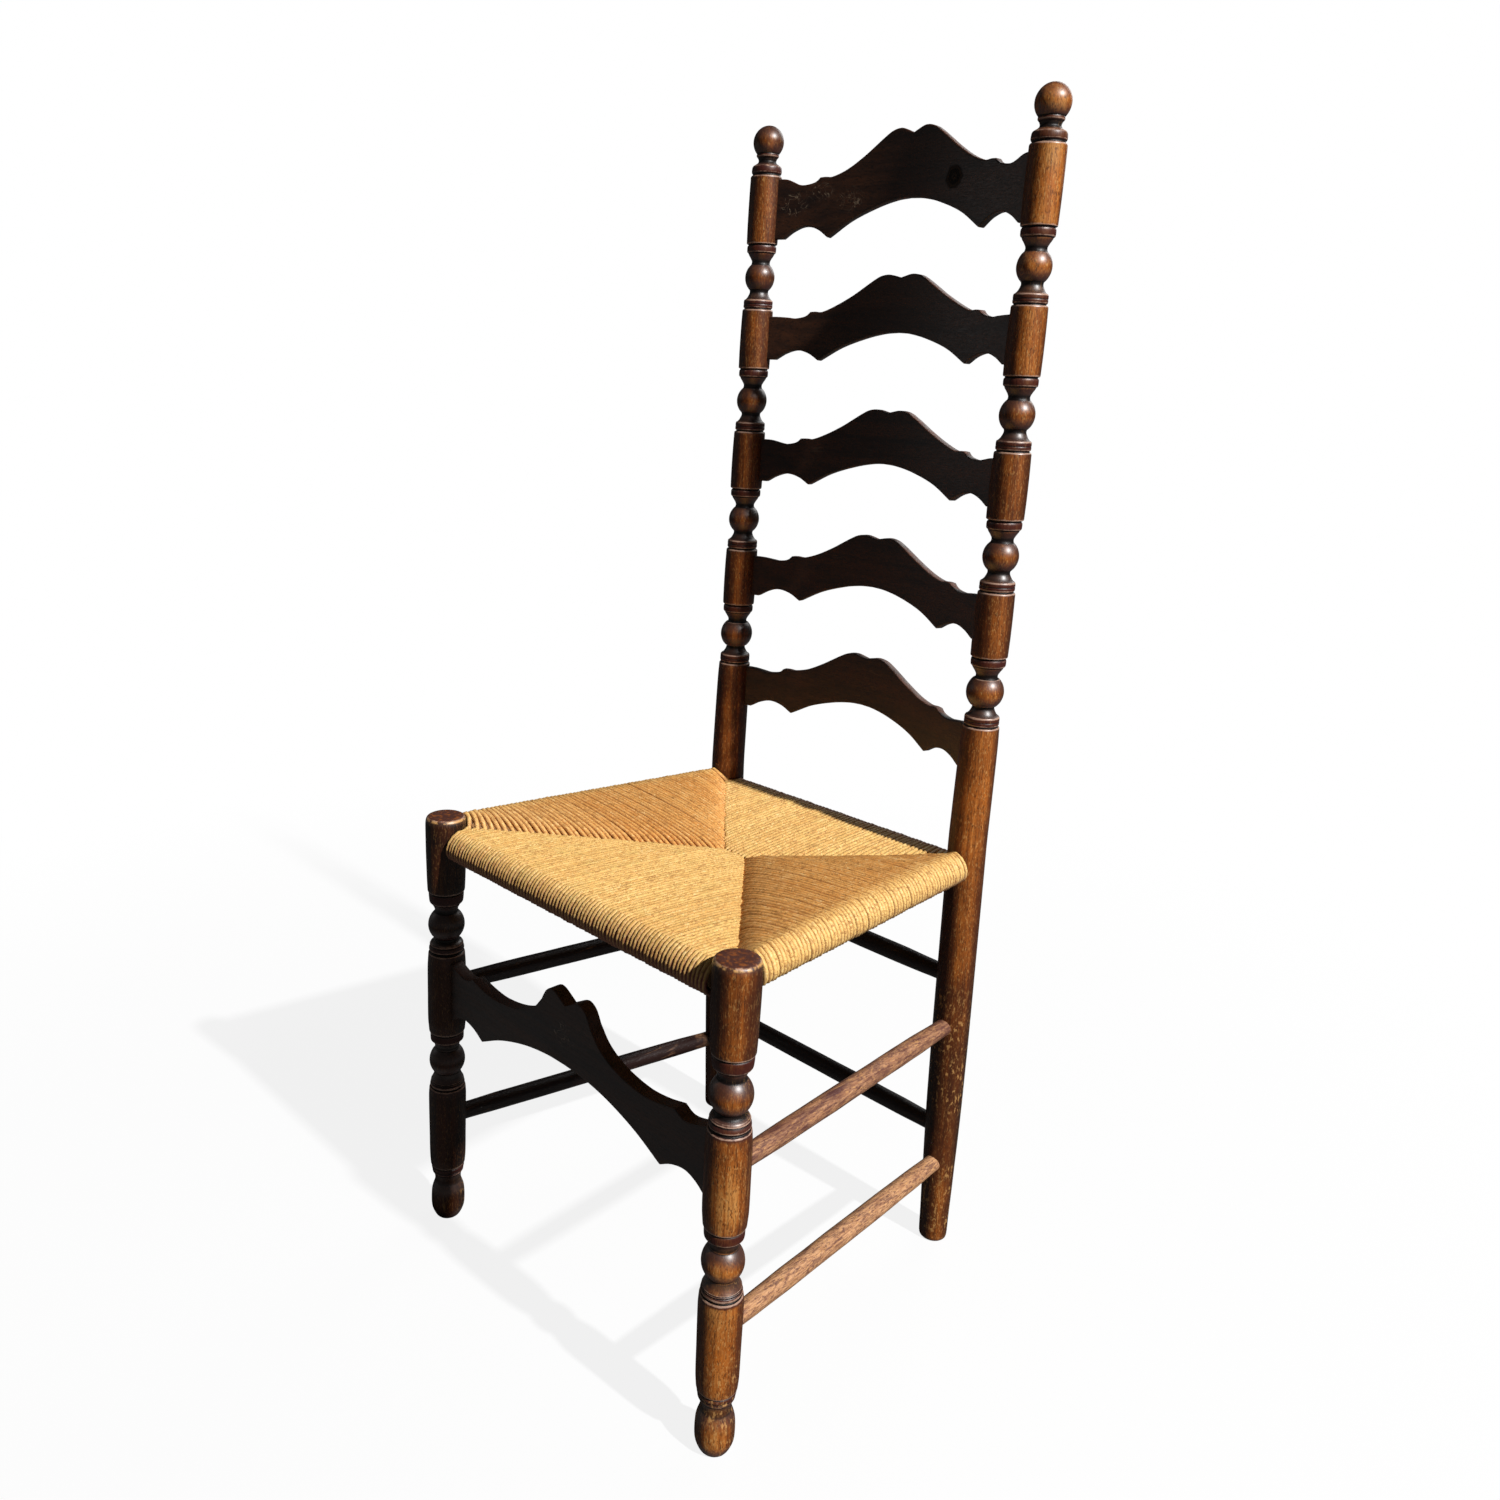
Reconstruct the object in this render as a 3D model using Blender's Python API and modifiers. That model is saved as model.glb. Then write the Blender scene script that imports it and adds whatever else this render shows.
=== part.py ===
"""Ladder back chair with turned legs and posts, five bowed slats and a rush seat.

Units are metres, +Z is up, the chair faces -Y, and the origin lies on the floor under the
middle of the chair's overall box. Every piece of wood is its own object. The rungs and rails
stop in blind round mortises, the slats and the front board in blind slots, and the rush is
one solid wrapped round the four seat rails.
"""

import math

import bmesh
import bpy
from mathutils import Vector

# Stance of the chair, measured between the axes of its legs and posts
LEG_SPREAD = 0.4154
POST_SPREAD = 0.3406
SEAT_DEPTH = 0.3706
LEG_HEIGHT = 0.460
BACK_LEAN = math.radians(1.88)
FOOT_LEAN = math.radians(0.71)
POST_SPLAY = math.radians(0.315)

# The back posts bend level with the tops of the front legs
BEND_HEIGHT = LEG_HEIGHT

# Clearance between two pieces that fit together, and the overrun of a cut past a surface
FIT_GAP = 0.0003
CUT_OVERRUN = 0.004

# Front legs
LEG_RADIUS = 0.0202
LEG_TOP_RADIUS = 0.0209
LEG_TOP_ROUND = 0.0025
LEG_TOP_FLARE = 0.030
LEG_BALL_HEIGHTS = (0.3415, 0.1868)
LEG_BALL_RADIUS = 0.0190
LEG_NECK_RADIUS = 0.0128
LEG_GROUP_REACH = 0.0340
FOOT_HEIGHT = 0.0440
FOOT_RADIUS = 0.0181
FOOT_FLAT_RADIUS = 0.0112
FOOT_NECK_RADIUS = 0.0141
FOOT_COVE = 0.0180

# Back posts
POST_RADIUS = 0.0197
POST_BARREL_RADIUS = 0.0185
POST_BALL_RADIUS = 0.0178
POST_NECK_RADIUS = 0.0111
POST_GROUP_REACH = 0.0340
POST_FOOT_RADIUS = 0.0148
POST_FOOT_ROUND = 0.0040
POST_TAPER_HEIGHT = 0.250
POST_SWELL = 0.060
LOWEST_BALL_RISE = 0.1534
BALL_PITCH = 0.1336
BALL_COUNT = 4
LOWEST_BALL_HEIGHT = BEND_HEIGHT + LOWEST_BALL_RISE
FINIAL_RISE = 0.1415
FINIAL_RADIUS = 0.0175
FINIAL_BEAD_RADIUS = 0.0129
FINIAL_NECK_RADIUS = 0.0104

# Slats, lowest first
SLAT_NAMES = ("slat_5", "slat_4", "slat_3", "slat_2", "slat_1")
SLAT_HEIGHTS = (0.0835, 0.0835, 0.0860, 0.0890, 0.1040)
SLAT_END_HEIGHTS = (0.0455, 0.0445, 0.0465, 0.0460, 0.0615)
SLAT_BUMP_HEIGHTS = (0.0500, 0.0495, 0.0500, 0.0515, 0.0620)
SLAT_NOTCH_DEPTHS = (0.0030, 0.0030, 0.0030, 0.0035, 0.0060)
SLAT_SEATS = (0.0502, 0.0476, 0.0450, 0.0459, 0.0408)
SLAT_DIP = 0.0070
SLAT_THICKNESS = 0.0085
SLAT_BOW = 0.0315
SLAT_STOP = 0.0060

# Shaped board between the front legs
BOARD_HEIGHT = 0.1040
BOARD_END_HEIGHT = 0.0640
BOARD_THICKNESS = 0.0140
BOARD_NOTCH_DEPTH = 0.0095
BOARD_BUMP_DROP = 0.0020
BOARD_SCOOP_DROP = 0.0085
BOARD_DIP_DROP = 0.0070
BOARD_SEAT = 0.0532
BOARD_STOP = 0.0060

# Round rungs below the seat
RUNG_RADIUS = 0.0098
RUNG_END_RADIUS = 0.0087
RUNG_STOP = 0.0092
RUNG_STRAIGHT = 0.0160
SIDE_RUNG_FRONT_HEIGHTS = (0.2720, 0.1185)
SIDE_RUNG_BACK_HEIGHTS = (0.2560, 0.0945)
BACK_RUNG_HEIGHTS = (0.3070, 0.1310)

# Seat rails inside the rush
RAIL_RADIUS = 0.0105
RAIL_TENON_RADIUS = 0.0062
RAIL_STOP = 0.0070
FRONT_RAIL_DROP = 0.0255
BACK_RAIL_DROP = 0.0335
SIDE_RAIL_LIFT = 0.0105
FRONT_RAIL_HEIGHT = LEG_HEIGHT - FRONT_RAIL_DROP
BACK_RAIL_HEIGHT = BEND_HEIGHT - BACK_RAIL_DROP

# Rush wound round the rails
RUSH_WALL = 0.0045
RUSH_DISH_DROP = 0.0265
RUSH_THICKNESS = 0.0215
RUSH_DISH_TOP = LEG_HEIGHT - RUSH_DISH_DROP
RUSH_DISH_BOTTOM = RUSH_DISH_TOP - RUSH_THICKNESS
RUSH_MIDDLE_SPLIT = 0.0140
RUSH_MIDDLE_DEPTH = 0.2100
RUSH_CROWN = 0.0030

# Facets of round pieces
TURNING_STEPS = 16
ROD_STEPS = 16

# A ball with its rings, from the barrel above to the barrel below.
# Each pair is a share of the group's reach from the ball and a share of the barrel's radius.
ABOVE_BALL_SHARES = ((1.03, 0.975), (0.98, 0.930), (0.80, 0.925), (0.72, 0.830))
BELOW_BALL_SHARES = ((-0.60, 0.72), (-0.71, 0.885), (-0.92, 0.945), (-1.03, 0.985))
NECK_SHARES = (0.495, -0.475)
BALL_BARE_SHARE = 0.86
BALL_ARC_STEPS = 4

# The foot ball of a front leg, as shares of its height and its radius, top to bottom,
# and the cove above it, as shares of the cove's height and of the leg's radius
FOOT_BALL_SHARES = ((0.82, 0.90), (0.55, 1.0), (0.32, 0.975), (0.12, 0.83))
FOOT_COVE_SHARES = ((1.6, 0.975), (1.0, 0.90))

# Taper of a back post's foot, as shares of the taper's height
POST_TAPER_SHARES = (1.0, 0.62, 0.34, 0.14)

# The finial's bead, neck and ring, as shares of the ball's rise above the barrel.
# The ring's second numbers are shares of the barrel's radius.
FINIAL_ARC_DEGREES = (60, 30, 0, -30, -52)
FINIAL_BEAD_SHARE = 0.56
FINIAL_NECK_SHARE = 0.42
FINIAL_RING_SHARES = ((0.28, 0.86), (0.20, 0.97), (0.0, 1.0))

# Half outline of a slat. The x shares are of its half length: middle notch, lobe, shoulder,
# foot of the slope, bump, dip and end on top; arch, cusp, small arch and end below.
SLAT_TOP_X_SHARES = (0.0, 0.090, 0.205, 0.573, 0.665, 0.770, 0.885, 1.0)
SLAT_SHOULDER_SHARE = 0.935
SLAT_BOTTOM_X_SHARES = (0.0, 0.573, 0.738, 0.885, 1.0)
SLAT_ARCH_SHARE = 0.343
SLAT_SMALL_ARCH_SHARE = 0.12
SLAT_STATION_SHARES = (
    0.0, 0.045, 0.09, 0.145, 0.205, 0.29, 0.38, 0.48, 0.573, 0.620, 0.665, 0.700, 0.738,
    0.770, 0.830, 0.885, 1.0)

# Half outline of the front board, in the same order
BOARD_TOP_X_SHARES = (0.0, 0.094, 0.178, 0.520, 0.744, 0.823, 0.930, 1.0)
BOARD_SHOULDER_SHARE = 0.846
BOARD_BOTTOM_X_SHARES = (0.0, 0.662, 0.818, 0.932, 1.0)
BOARD_ARCH_SHARE = 0.332
BOARD_SMALL_ARCH_SHARE = 0.106
BOARD_STATION_SHARES = (
    0.0, 0.045, 0.094, 0.135, 0.178, 0.24, 0.32, 0.41, 0.52, 0.60, 0.662, 0.705, 0.744,
    0.785, 0.823, 0.875, 0.932, 1.0)

# Stations along one side of the rush, and points across its upper slope, both as shares
RUSH_SIDE_SHARES = (0.055, 0.22, 0.41, 0.59, 0.78, 0.945)
RUSH_SLOPE_SHARES = (0.3, 0.6, 0.85)
RUSH_ROLL_DEGREES = (90, 60, 30, 0, -30, -60, -90)

# How an outline reaches one of its points
FLAT, EASE, LEAVE_FLAT, ARRIVE_FLAT = range(4)
TOP_BENDS = (FLAT, ARRIVE_FLAT, LEAVE_FLAT, ARRIVE_FLAT, EASE, EASE, EASE, FLAT)
BOTTOM_BENDS = (FLAT, LEAVE_FLAT, ARRIVE_FLAT, LEAVE_FLAT, FLAT)

SIDES = (("left", -1), ("right", 1))


def post_line(side, height):
    """Centre of a back post at a height: it leans back above the seat and splays a little."""
    rise = height - BEND_HEIGHT
    x = side * (POST_SPREAD / 2 + rise * math.tan(POST_SPLAY))
    lean = math.tan(BACK_LEAN) if rise > 0 else -math.tan(FOOT_LEAN)
    return Vector((x, back_y() + rise * lean, height))


def leg_line(side, height):
    """Centre of an upright front leg at a height."""
    return Vector((side * LEG_SPREAD / 2, front_y(), height))


def slat_base(index):
    """Height of a slat's lower line, seated above the ball below it; the lowest slat is 0."""
    return LOWEST_BALL_HEIGHT + (index - 1) * BALL_PITCH + SLAT_SEATS[index]


def rear_reach():
    """How far the top slat's back stands behind the line of the front legs."""
    top = len(SLAT_NAMES) - 1
    notch = slat_base(top) + SLAT_HEIGHTS[top] - SLAT_NOTCH_DEPTHS[top]
    lean = (notch - BEND_HEIGHT) * math.tan(BACK_LEAN)
    return SEAT_DEPTH + lean + SLAT_BOW + SLAT_THICKNESS / 2


def front_y():
    """Line of the front legs, so that the chair's overall depth is centred on the origin."""
    return -(rear_reach() - LEG_TOP_RADIUS) / 2


def back_y():
    """Line of the back posts where they bend at the seat."""
    return front_y() + SEAT_DEPTH


def start_clean():
    """Empty the scene and give the chair and its cutters a collection each."""
    for old in list(bpy.data.objects):
        bpy.data.objects.remove(old, do_unlink=True)
    chair = bpy.data.collections.new("ladder_back_chair")
    cutters = bpy.data.collections.new("cutters")
    bpy.context.scene.collection.children.link(chair)
    bpy.context.scene.collection.children.link(cutters)
    return chair, cutters


def finish(name, colour, roughness):
    """A plain finish for one kind of piece."""
    material = bpy.data.materials.new(name)
    material.use_nodes = True
    shader = material.node_tree.nodes["Principled BSDF"]
    shader.inputs["Base Color"].default_value = (*colour, 1.0)
    shader.inputs["Roughness"].default_value = roughness
    shader.inputs["Metallic"].default_value = 0.0
    return material


def add_object(name, mesh, collection, material=None):
    """Link a mesh as a piece, or as a hidden wire cutter when it has no finish."""
    piece = bpy.data.objects.new(name, mesh)
    collection.objects.link(piece)
    if material is None:
        piece.hide_render = True
        piece.display_type = "WIRE"
    else:
        mesh.materials.append(material)
    return piece


def turned(name, outline, steps, collection, material=None):
    """Turn an outline of (radius, height) pairs, listed top to bottom, about its own Z axis."""
    mesh = bpy.data.meshes.new(name)
    points = [(radius, 0.0, height) for radius, height in outline]
    edges = [(index, index + 1) for index in range(len(points) - 1)]
    mesh.from_pydata(points, edges, [])
    piece = add_object(name, mesh, collection, material)
    screw = piece.modifiers.new("Turning", "SCREW")
    screw.axis = "Z"
    screw.steps = steps
    screw.render_steps = steps
    screw.use_merge_vertices = True
    screw.merge_threshold = 0.00001
    screw.use_smooth_shade = True
    return piece


def settle(piece):
    """Replace a piece's mesh by its evaluated one, so that it can be shaped further."""
    bpy.context.view_layer.update()
    evaluated = piece.evaluated_get(bpy.context.evaluated_depsgraph_get())
    mesh = bpy.data.meshes.new_from_object(evaluated)
    piece.modifiers.clear()
    piece.data = mesh
    return mesh


def cut(piece, cutter):
    """Cut one piece by a cutter."""
    boolean = piece.modifiers.new("Cut " + cutter.name, "BOOLEAN")
    boolean.operation = "DIFFERENCE"
    boolean.solver = "EXACT"
    boolean.object = cutter


def aim(piece, start, end):
    """Stand a turned piece on its start point with its own Z axis towards the end point."""
    piece.location = start
    piece.rotation_mode = "QUATERNION"
    piece.rotation_quaternion = (end - start).to_track_quat("Z", "Y")


def turned_group(height, reach, barrel, ball, neck):
    """Outline of one ball with its necks and rings between two barrels, top to bottom."""
    outline = [(share * barrel, height + rise * reach) for rise, share in ABOVE_BALL_SHARES]
    outline.append((neck, height + NECK_SHARES[0] * reach))
    bare = math.acos(neck / ball) * BALL_BARE_SHARE
    for step in range(BALL_ARC_STEPS + 1):
        angle = bare - 2 * bare * step / BALL_ARC_STEPS
        outline.append((ball * math.cos(angle), height + ball * math.sin(angle)))
    outline.append((neck, height + NECK_SHARES[1] * reach))
    outline.extend((share * barrel, height + rise * reach) for rise, share in BELOW_BALL_SHARES)
    return outline


def leg_outline():
    """Front leg: a worn round top, two balls between three barrels, and a ball foot."""
    outline = [
        (0.0, LEG_HEIGHT),
        (LEG_TOP_RADIUS - LEG_TOP_ROUND, LEG_HEIGHT),
        (LEG_TOP_RADIUS, LEG_HEIGHT - LEG_TOP_ROUND),
        (LEG_RADIUS, LEG_HEIGHT - LEG_TOP_FLARE),
    ]
    for height in LEG_BALL_HEIGHTS:
        outline.extend(
            turned_group(height, LEG_GROUP_REACH, LEG_RADIUS, LEG_BALL_RADIUS, LEG_NECK_RADIUS))
    for rise_share, radius_share in FOOT_COVE_SHARES:
        outline.append((LEG_RADIUS * radius_share, FOOT_HEIGHT + FOOT_COVE * rise_share))
    outline.append((FOOT_NECK_RADIUS, FOOT_HEIGHT))
    for rise_share, radius_share in FOOT_BALL_SHARES:
        outline.append((FOOT_RADIUS * radius_share, FOOT_HEIGHT * rise_share))
    outline.append((FOOT_FLAT_RADIUS, 0.0))
    outline.append((0.0, 0.0))
    return outline


def post_radius_below(height):
    """Radius of the plain lower post, which tapers to its foot."""
    taper = math.sin(math.pi / 2 * min(1.0, height / POST_TAPER_HEIGHT))
    return POST_FOOT_RADIUS + (POST_RADIUS - POST_FOOT_RADIUS) * taper


def finial_outline(height, barrel_top):
    """Ball finial on a bead, a neck and a ring, from its tip to the top of the barrel."""
    rise = height - barrel_top
    outline = [(0.0, height + FINIAL_RADIUS)]
    for degrees in FINIAL_ARC_DEGREES:
        angle = math.radians(degrees)
        outline.append((FINIAL_RADIUS * math.cos(angle), height + FINIAL_RADIUS * math.sin(angle)))
    outline.append((FINIAL_BEAD_RADIUS, barrel_top + rise * FINIAL_BEAD_SHARE))
    outline.append((FINIAL_NECK_RADIUS, barrel_top + rise * FINIAL_NECK_SHARE))
    outline.extend(
        (share * POST_BARREL_RADIUS, barrel_top + rise * up) for up, share in FINIAL_RING_SHARES)
    return outline


def post_outline():
    """Back post: finial, four balls between barrels, and a plain tapered lower post."""
    balls = [LOWEST_BALL_HEIGHT + index * BALL_PITCH for index in range(BALL_COUNT)]
    finial_height = balls[-1] + FINIAL_RISE
    barrel_top = finial_height - 2 * FINIAL_RADIUS
    outline = finial_outline(finial_height, barrel_top)
    for height in reversed(balls):
        outline.extend(turned_group(
            height, POST_GROUP_REACH, POST_BARREL_RADIUS, POST_BALL_RADIUS, POST_NECK_RADIUS))
    swell_end = balls[0] - POST_GROUP_REACH - POST_SWELL
    outline.append((POST_RADIUS, swell_end))
    outline.append((POST_RADIUS, BEND_HEIGHT))
    for share in POST_TAPER_SHARES:
        height = POST_TAPER_HEIGHT * share
        outline.append((post_radius_below(height), height))
    outline.append((POST_FOOT_RADIUS, POST_FOOT_ROUND))
    outline.append((POST_FOOT_RADIUS - POST_FOOT_ROUND, 0.0))
    outline.append((0.0, 0.0))
    return outline


def bend_post(mesh, side):
    """Lay a straight turned post on its bent line, with every section left level."""
    foot = post_line(side, 0.0)
    for vertex in mesh.vertices:
        line = post_line(side, vertex.co.z)
        vertex.co.x += line.x - foot.x
        vertex.co.y += line.y - foot.y


def add_legs(chair, material):
    """The two front legs."""
    legs = {}
    for label, side in SIDES:
        leg = turned("front_leg_" + label, leg_outline(), TURNING_STEPS, chair, material)
        leg.location = leg_line(side, 0.0)
        legs[side] = leg
    return legs


def add_posts(chair, material):
    """The two back posts, each bent at the seat."""
    posts = {}
    for label, side in SIDES:
        post = turned("back_post_" + label, post_outline(), TURNING_STEPS, chair, material)
        bend_post(settle(post), side)
        post.location = post_line(side, 0.0)
        posts[side] = post
    return posts


def outline_height(x_shares, heights, bends, share):
    """Height of an outline at a share of its half length, through its named points."""
    for index in range(1, len(x_shares)):
        if share <= x_shares[index]:
            break
    span = x_shares[index] - x_shares[index - 1]
    part = (share - x_shares[index - 1]) / span
    bend = bends[index]
    if bend == EASE:
        part = (1 - math.cos(math.pi * part)) / 2
    elif bend == LEAVE_FLAT:
        part = 1 - math.cos(math.pi / 2 * part)
    elif bend == ARRIVE_FLAT:
        part = math.sin(math.pi / 2 * part)
    return heights[index - 1] + (heights[index] - heights[index - 1]) * part


def slat_outlines(index):
    """Heights of a slat's upper and lower outline points above its lower line."""
    full = SLAT_HEIGHTS[index]
    bump = SLAT_BUMP_HEIGHTS[index]
    end = SLAT_END_HEIGHTS[index]
    top = (
        full - SLAT_NOTCH_DEPTHS[index], full, full * SLAT_SHOULDER_SHARE,
        bump, bump, bump - SLAT_DIP, end, end)
    bottom = (full * SLAT_ARCH_SHARE, 0.0, full * SLAT_SMALL_ARCH_SHARE, 0.0, 0.0)
    return top, bottom


def board_outlines():
    """Heights of the front board's upper and lower outline points above its lower line."""
    top = (
        BOARD_HEIGHT - BOARD_NOTCH_DEPTH, BOARD_HEIGHT, BOARD_HEIGHT * BOARD_SHOULDER_SHARE,
        BOARD_END_HEIGHT - BOARD_SCOOP_DROP, BOARD_END_HEIGHT - BOARD_BUMP_DROP,
        BOARD_END_HEIGHT - BOARD_DIP_DROP, BOARD_END_HEIGHT, BOARD_END_HEIGHT)
    bottom = (
        BOARD_HEIGHT * BOARD_ARCH_SHARE, 0.0, BOARD_HEIGHT * BOARD_SMALL_ARCH_SHARE, 0.0, 0.0)
    return top, bottom


def shaped_board(name, station_shares, place, thickness, collection, material=None):
    """A thin board: a strip of quads between its two outlines, thickened to both sides.

    place(share, edge) gives a point of the board's middle surface, where share runs from -1 to 1
    along the board and edge is 0 on the lower outline and 1 on the upper one.
    """
    shares = [-share for share in reversed(station_shares[1:])] + list(station_shares)
    build = bmesh.new()
    bmesh.ops.create_grid(build, x_segments=len(shares) - 1, y_segments=1, size=1.0)
    for vertex in build.verts:
        station = round((vertex.co.x + 1) / 2 * (len(shares) - 1))
        vertex.co = place(shares[station], 1 if vertex.co.y > 0 else 0)
    mesh = bpy.data.meshes.new(name)
    build.to_mesh(mesh)
    build.free()
    piece = add_object(name, mesh, collection, material)
    wall = piece.modifiers.new("Thickness", "SOLIDIFY")
    wall.thickness = thickness
    wall.offset = 0.0
    return piece


def slat_place(index, grow):
    """Middle surface of a bowed slat, grown by a clearance for its slots."""
    top, bottom = slat_outlines(index)
    base = slat_base(index)
    full = post_line(1, base + SLAT_END_HEIGHTS[index] / 2).x
    half = full - SLAT_STOP

    def place(share, edge):
        if edge:
            rise = outline_height(SLAT_TOP_X_SHARES, top, TOP_BENDS, abs(share)) + grow
        else:
            rise = outline_height(SLAT_BOTTOM_X_SHARES, bottom, BOTTOM_BENDS, abs(share)) - grow
        height = base + rise
        reach = share * (half + grow)
        bow = SLAT_BOW * (1 - (reach / full) ** 2)
        return Vector((reach, post_line(1, height).y + bow, height))

    return place


def board_place(grow):
    """Middle surface of the flat front board, grown by a clearance for its slots."""
    top, bottom = board_outlines()
    base = LEG_BALL_HEIGHTS[1] + BOARD_SEAT
    half = LEG_SPREAD / 2 - BOARD_STOP

    def place(share, edge):
        if edge:
            rise = outline_height(BOARD_TOP_X_SHARES, top, TOP_BENDS, abs(share)) + grow
        else:
            rise = outline_height(BOARD_BOTTOM_X_SHARES, bottom, BOTTOM_BENDS, abs(share)) - grow
        return Vector((share * (half + grow), front_y(), base + rise))

    return place


def add_slats(chair, cutters, posts, material):
    """Five bowed slats, each let into a slot in both posts."""
    for index, name in enumerate(SLAT_NAMES):
        shaped_board(
            name, SLAT_STATION_SHARES, slat_place(index, 0.0), SLAT_THICKNESS, chair, material)
        slot = shaped_board(
            name + "_slot", SLAT_STATION_SHARES, slat_place(index, FIT_GAP),
            SLAT_THICKNESS + 2 * FIT_GAP, cutters)
        for post in posts.values():
            cut(post, slot)


def add_board(chair, cutters, legs, material):
    """The shaped board let into the front legs between their two balls."""
    shaped_board(
        "front_board", BOARD_STATION_SHARES, board_place(0.0), BOARD_THICKNESS, chair, material)
    slot = shaped_board(
        "front_board_slot", BOARD_STATION_SHARES, board_place(FIT_GAP),
        BOARD_THICKNESS + 2 * FIT_GAP, cutters)
    for leg in legs.values():
        cut(leg, slot)


def rod_outline(length, radius, end_radius, straight):
    """A rung: straight ends that seat in the mortises, swelling gently to the middle."""
    return [
        (0.0, length),
        (end_radius, length),
        (end_radius, length - straight),
        (radius, length / 2),
        (end_radius, straight),
        (end_radius, 0.0),
        (0.0, 0.0),
    ]


def add_rung(name, start, end, hosts, chair, cutters, material):
    """A round rung between two uprights, with a blind mortise cut for each end."""
    way = (end - start).normalized()
    first = start + way * RUNG_STOP
    last = end - way * RUNG_STOP
    length = (last - first).length
    outline = rod_outline(length, RUNG_RADIUS, RUNG_END_RADIUS, RUNG_STRAIGHT)
    rung = turned(name, outline, ROD_STEPS, chair, material)
    aim(rung, first, last)
    bore_for(name, first, last, RUNG_END_RADIUS, hosts, cutters)


def bore_for(name, first, last, radius, hosts, cutters):
    """Cut the hosts by a rod's ends, grown by the fitting clearance."""
    way = (last - first).normalized()
    length = (last - first).length + 2 * FIT_GAP
    wide = radius + FIT_GAP
    outline = [(0.0, length), (wide, length), (wide, 0.0), (0.0, 0.0)]
    bore = turned(name + "_bore", outline, ROD_STEPS, cutters)
    aim(bore, first - way * FIT_GAP, last)
    for host in hosts:
        cut(host, bore)


def add_rungs(chair, cutters, legs, posts, material):
    """Two rungs on each side and two behind."""
    levels = ("upper", "lower")
    for level, front, back in zip(levels, SIDE_RUNG_FRONT_HEIGHTS, SIDE_RUNG_BACK_HEIGHTS):
        for label, side in SIDES:
            add_rung(
                "side_rung_" + level + "_" + label, leg_line(side, front), post_line(side, back),
                (legs[side], posts[side]), chair, cutters, material)
    for level, height in zip(levels, BACK_RUNG_HEIGHTS):
        add_rung(
            "back_rung_" + level, post_line(-1, height), post_line(1, height),
            tuple(posts.values()), chair, cutters, material)


def rail_lines():
    """The four seat rails, each from upright to upright, anticlockwise seen from above."""
    front_side = FRONT_RAIL_HEIGHT + SIDE_RAIL_LIFT
    back_side = BACK_RAIL_HEIGHT + SIDE_RAIL_LIFT
    return (
        ("front", leg_line(-1, FRONT_RAIL_HEIGHT), leg_line(1, FRONT_RAIL_HEIGHT)),
        ("right", leg_line(1, front_side), post_line(1, back_side)),
        ("back", post_line(1, BACK_RAIL_HEIGHT), post_line(-1, BACK_RAIL_HEIGHT)),
        ("left", post_line(-1, back_side), leg_line(-1, front_side)),
    )


def add_rails(chair, cutters, legs, posts, material):
    """Round seat rails with slimmer tenons, and the tunnels that they leave in the rush."""
    hosts = {
        "front": (legs[-1], legs[1]), "right": (legs[1], posts[1]),
        "back": (posts[1], posts[-1]), "left": (posts[-1], legs[-1])}
    shoulders = {
        "front": (LEG_TOP_RADIUS, LEG_TOP_RADIUS), "right": (LEG_TOP_RADIUS, POST_RADIUS),
        "back": (POST_RADIUS, POST_RADIUS), "left": (POST_RADIUS, LEG_TOP_RADIUS)}
    tunnels = []
    for label, start, end in rail_lines():
        name = "seat_rail_" + label
        way = (end - start).normalized()
        first = start + way * RAIL_STOP
        last = end - way * RAIL_STOP
        length = (last - first).length
        low = shoulders[label][0] + FIT_GAP - RAIL_STOP
        high = length - (shoulders[label][1] + FIT_GAP - RAIL_STOP)
        outline = [
            (0.0, length), (RAIL_TENON_RADIUS, length), (RAIL_TENON_RADIUS, high),
            (RAIL_RADIUS, high), (RAIL_RADIUS, low), (RAIL_TENON_RADIUS, low),
            (RAIL_TENON_RADIUS, 0.0), (0.0, 0.0)]
        rail = turned(name, outline, ROD_STEPS, chair, material)
        aim(rail, first, last)
        bore_for(name, first, last, RAIL_TENON_RADIUS, hosts[label], cutters)
        wide = RAIL_RADIUS + FIT_GAP
        full = (end - start).length
        tunnel = turned(
            name + "_tunnel", [(0.0, full), (wide, full), (wide, 0.0), (0.0, 0.0)],
            ROD_STEPS, cutters)
        aim(tunnel, start, end)
        tunnels.append(tunnel)
    return tunnels


def rush_rim():
    """Stations round the seat's rim: rail centre, outward way, and the dish point inside."""
    lines = rail_lines()
    middle_y = front_y() + RUSH_MIDDLE_DEPTH
    inner = {
        "front": (-RUSH_MIDDLE_SPLIT, RUSH_MIDDLE_SPLIT),
        "right": (RUSH_MIDDLE_SPLIT, RUSH_MIDDLE_SPLIT),
        "back": (RUSH_MIDDLE_SPLIT, -RUSH_MIDDLE_SPLIT),
        "left": (-RUSH_MIDDLE_SPLIT, -RUSH_MIDDLE_SPLIT)}
    rim = []
    for number, (label, start, end) in enumerate(lines):
        before_end = lines[number - 1][2]
        way = (end - start).normalized()
        before_way = (before_end - lines[number - 1][1]).normalized()
        outward = Vector((way.y, -way.x, 0.0)).normalized()
        before_out = Vector((before_way.y, -before_way.x, 0.0)).normalized()
        first, last = inner[label]
        corner = (start + before_end) / 2
        rim.append((corner, (outward + before_out).normalized(), Vector((first, middle_y, 0.0))))
        for share in RUSH_SIDE_SHARES:
            inside = Vector((first + (last - first) * share, middle_y, 0.0))
            rim.append((start.lerp(end, share), outward, inside))
    return rim


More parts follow.
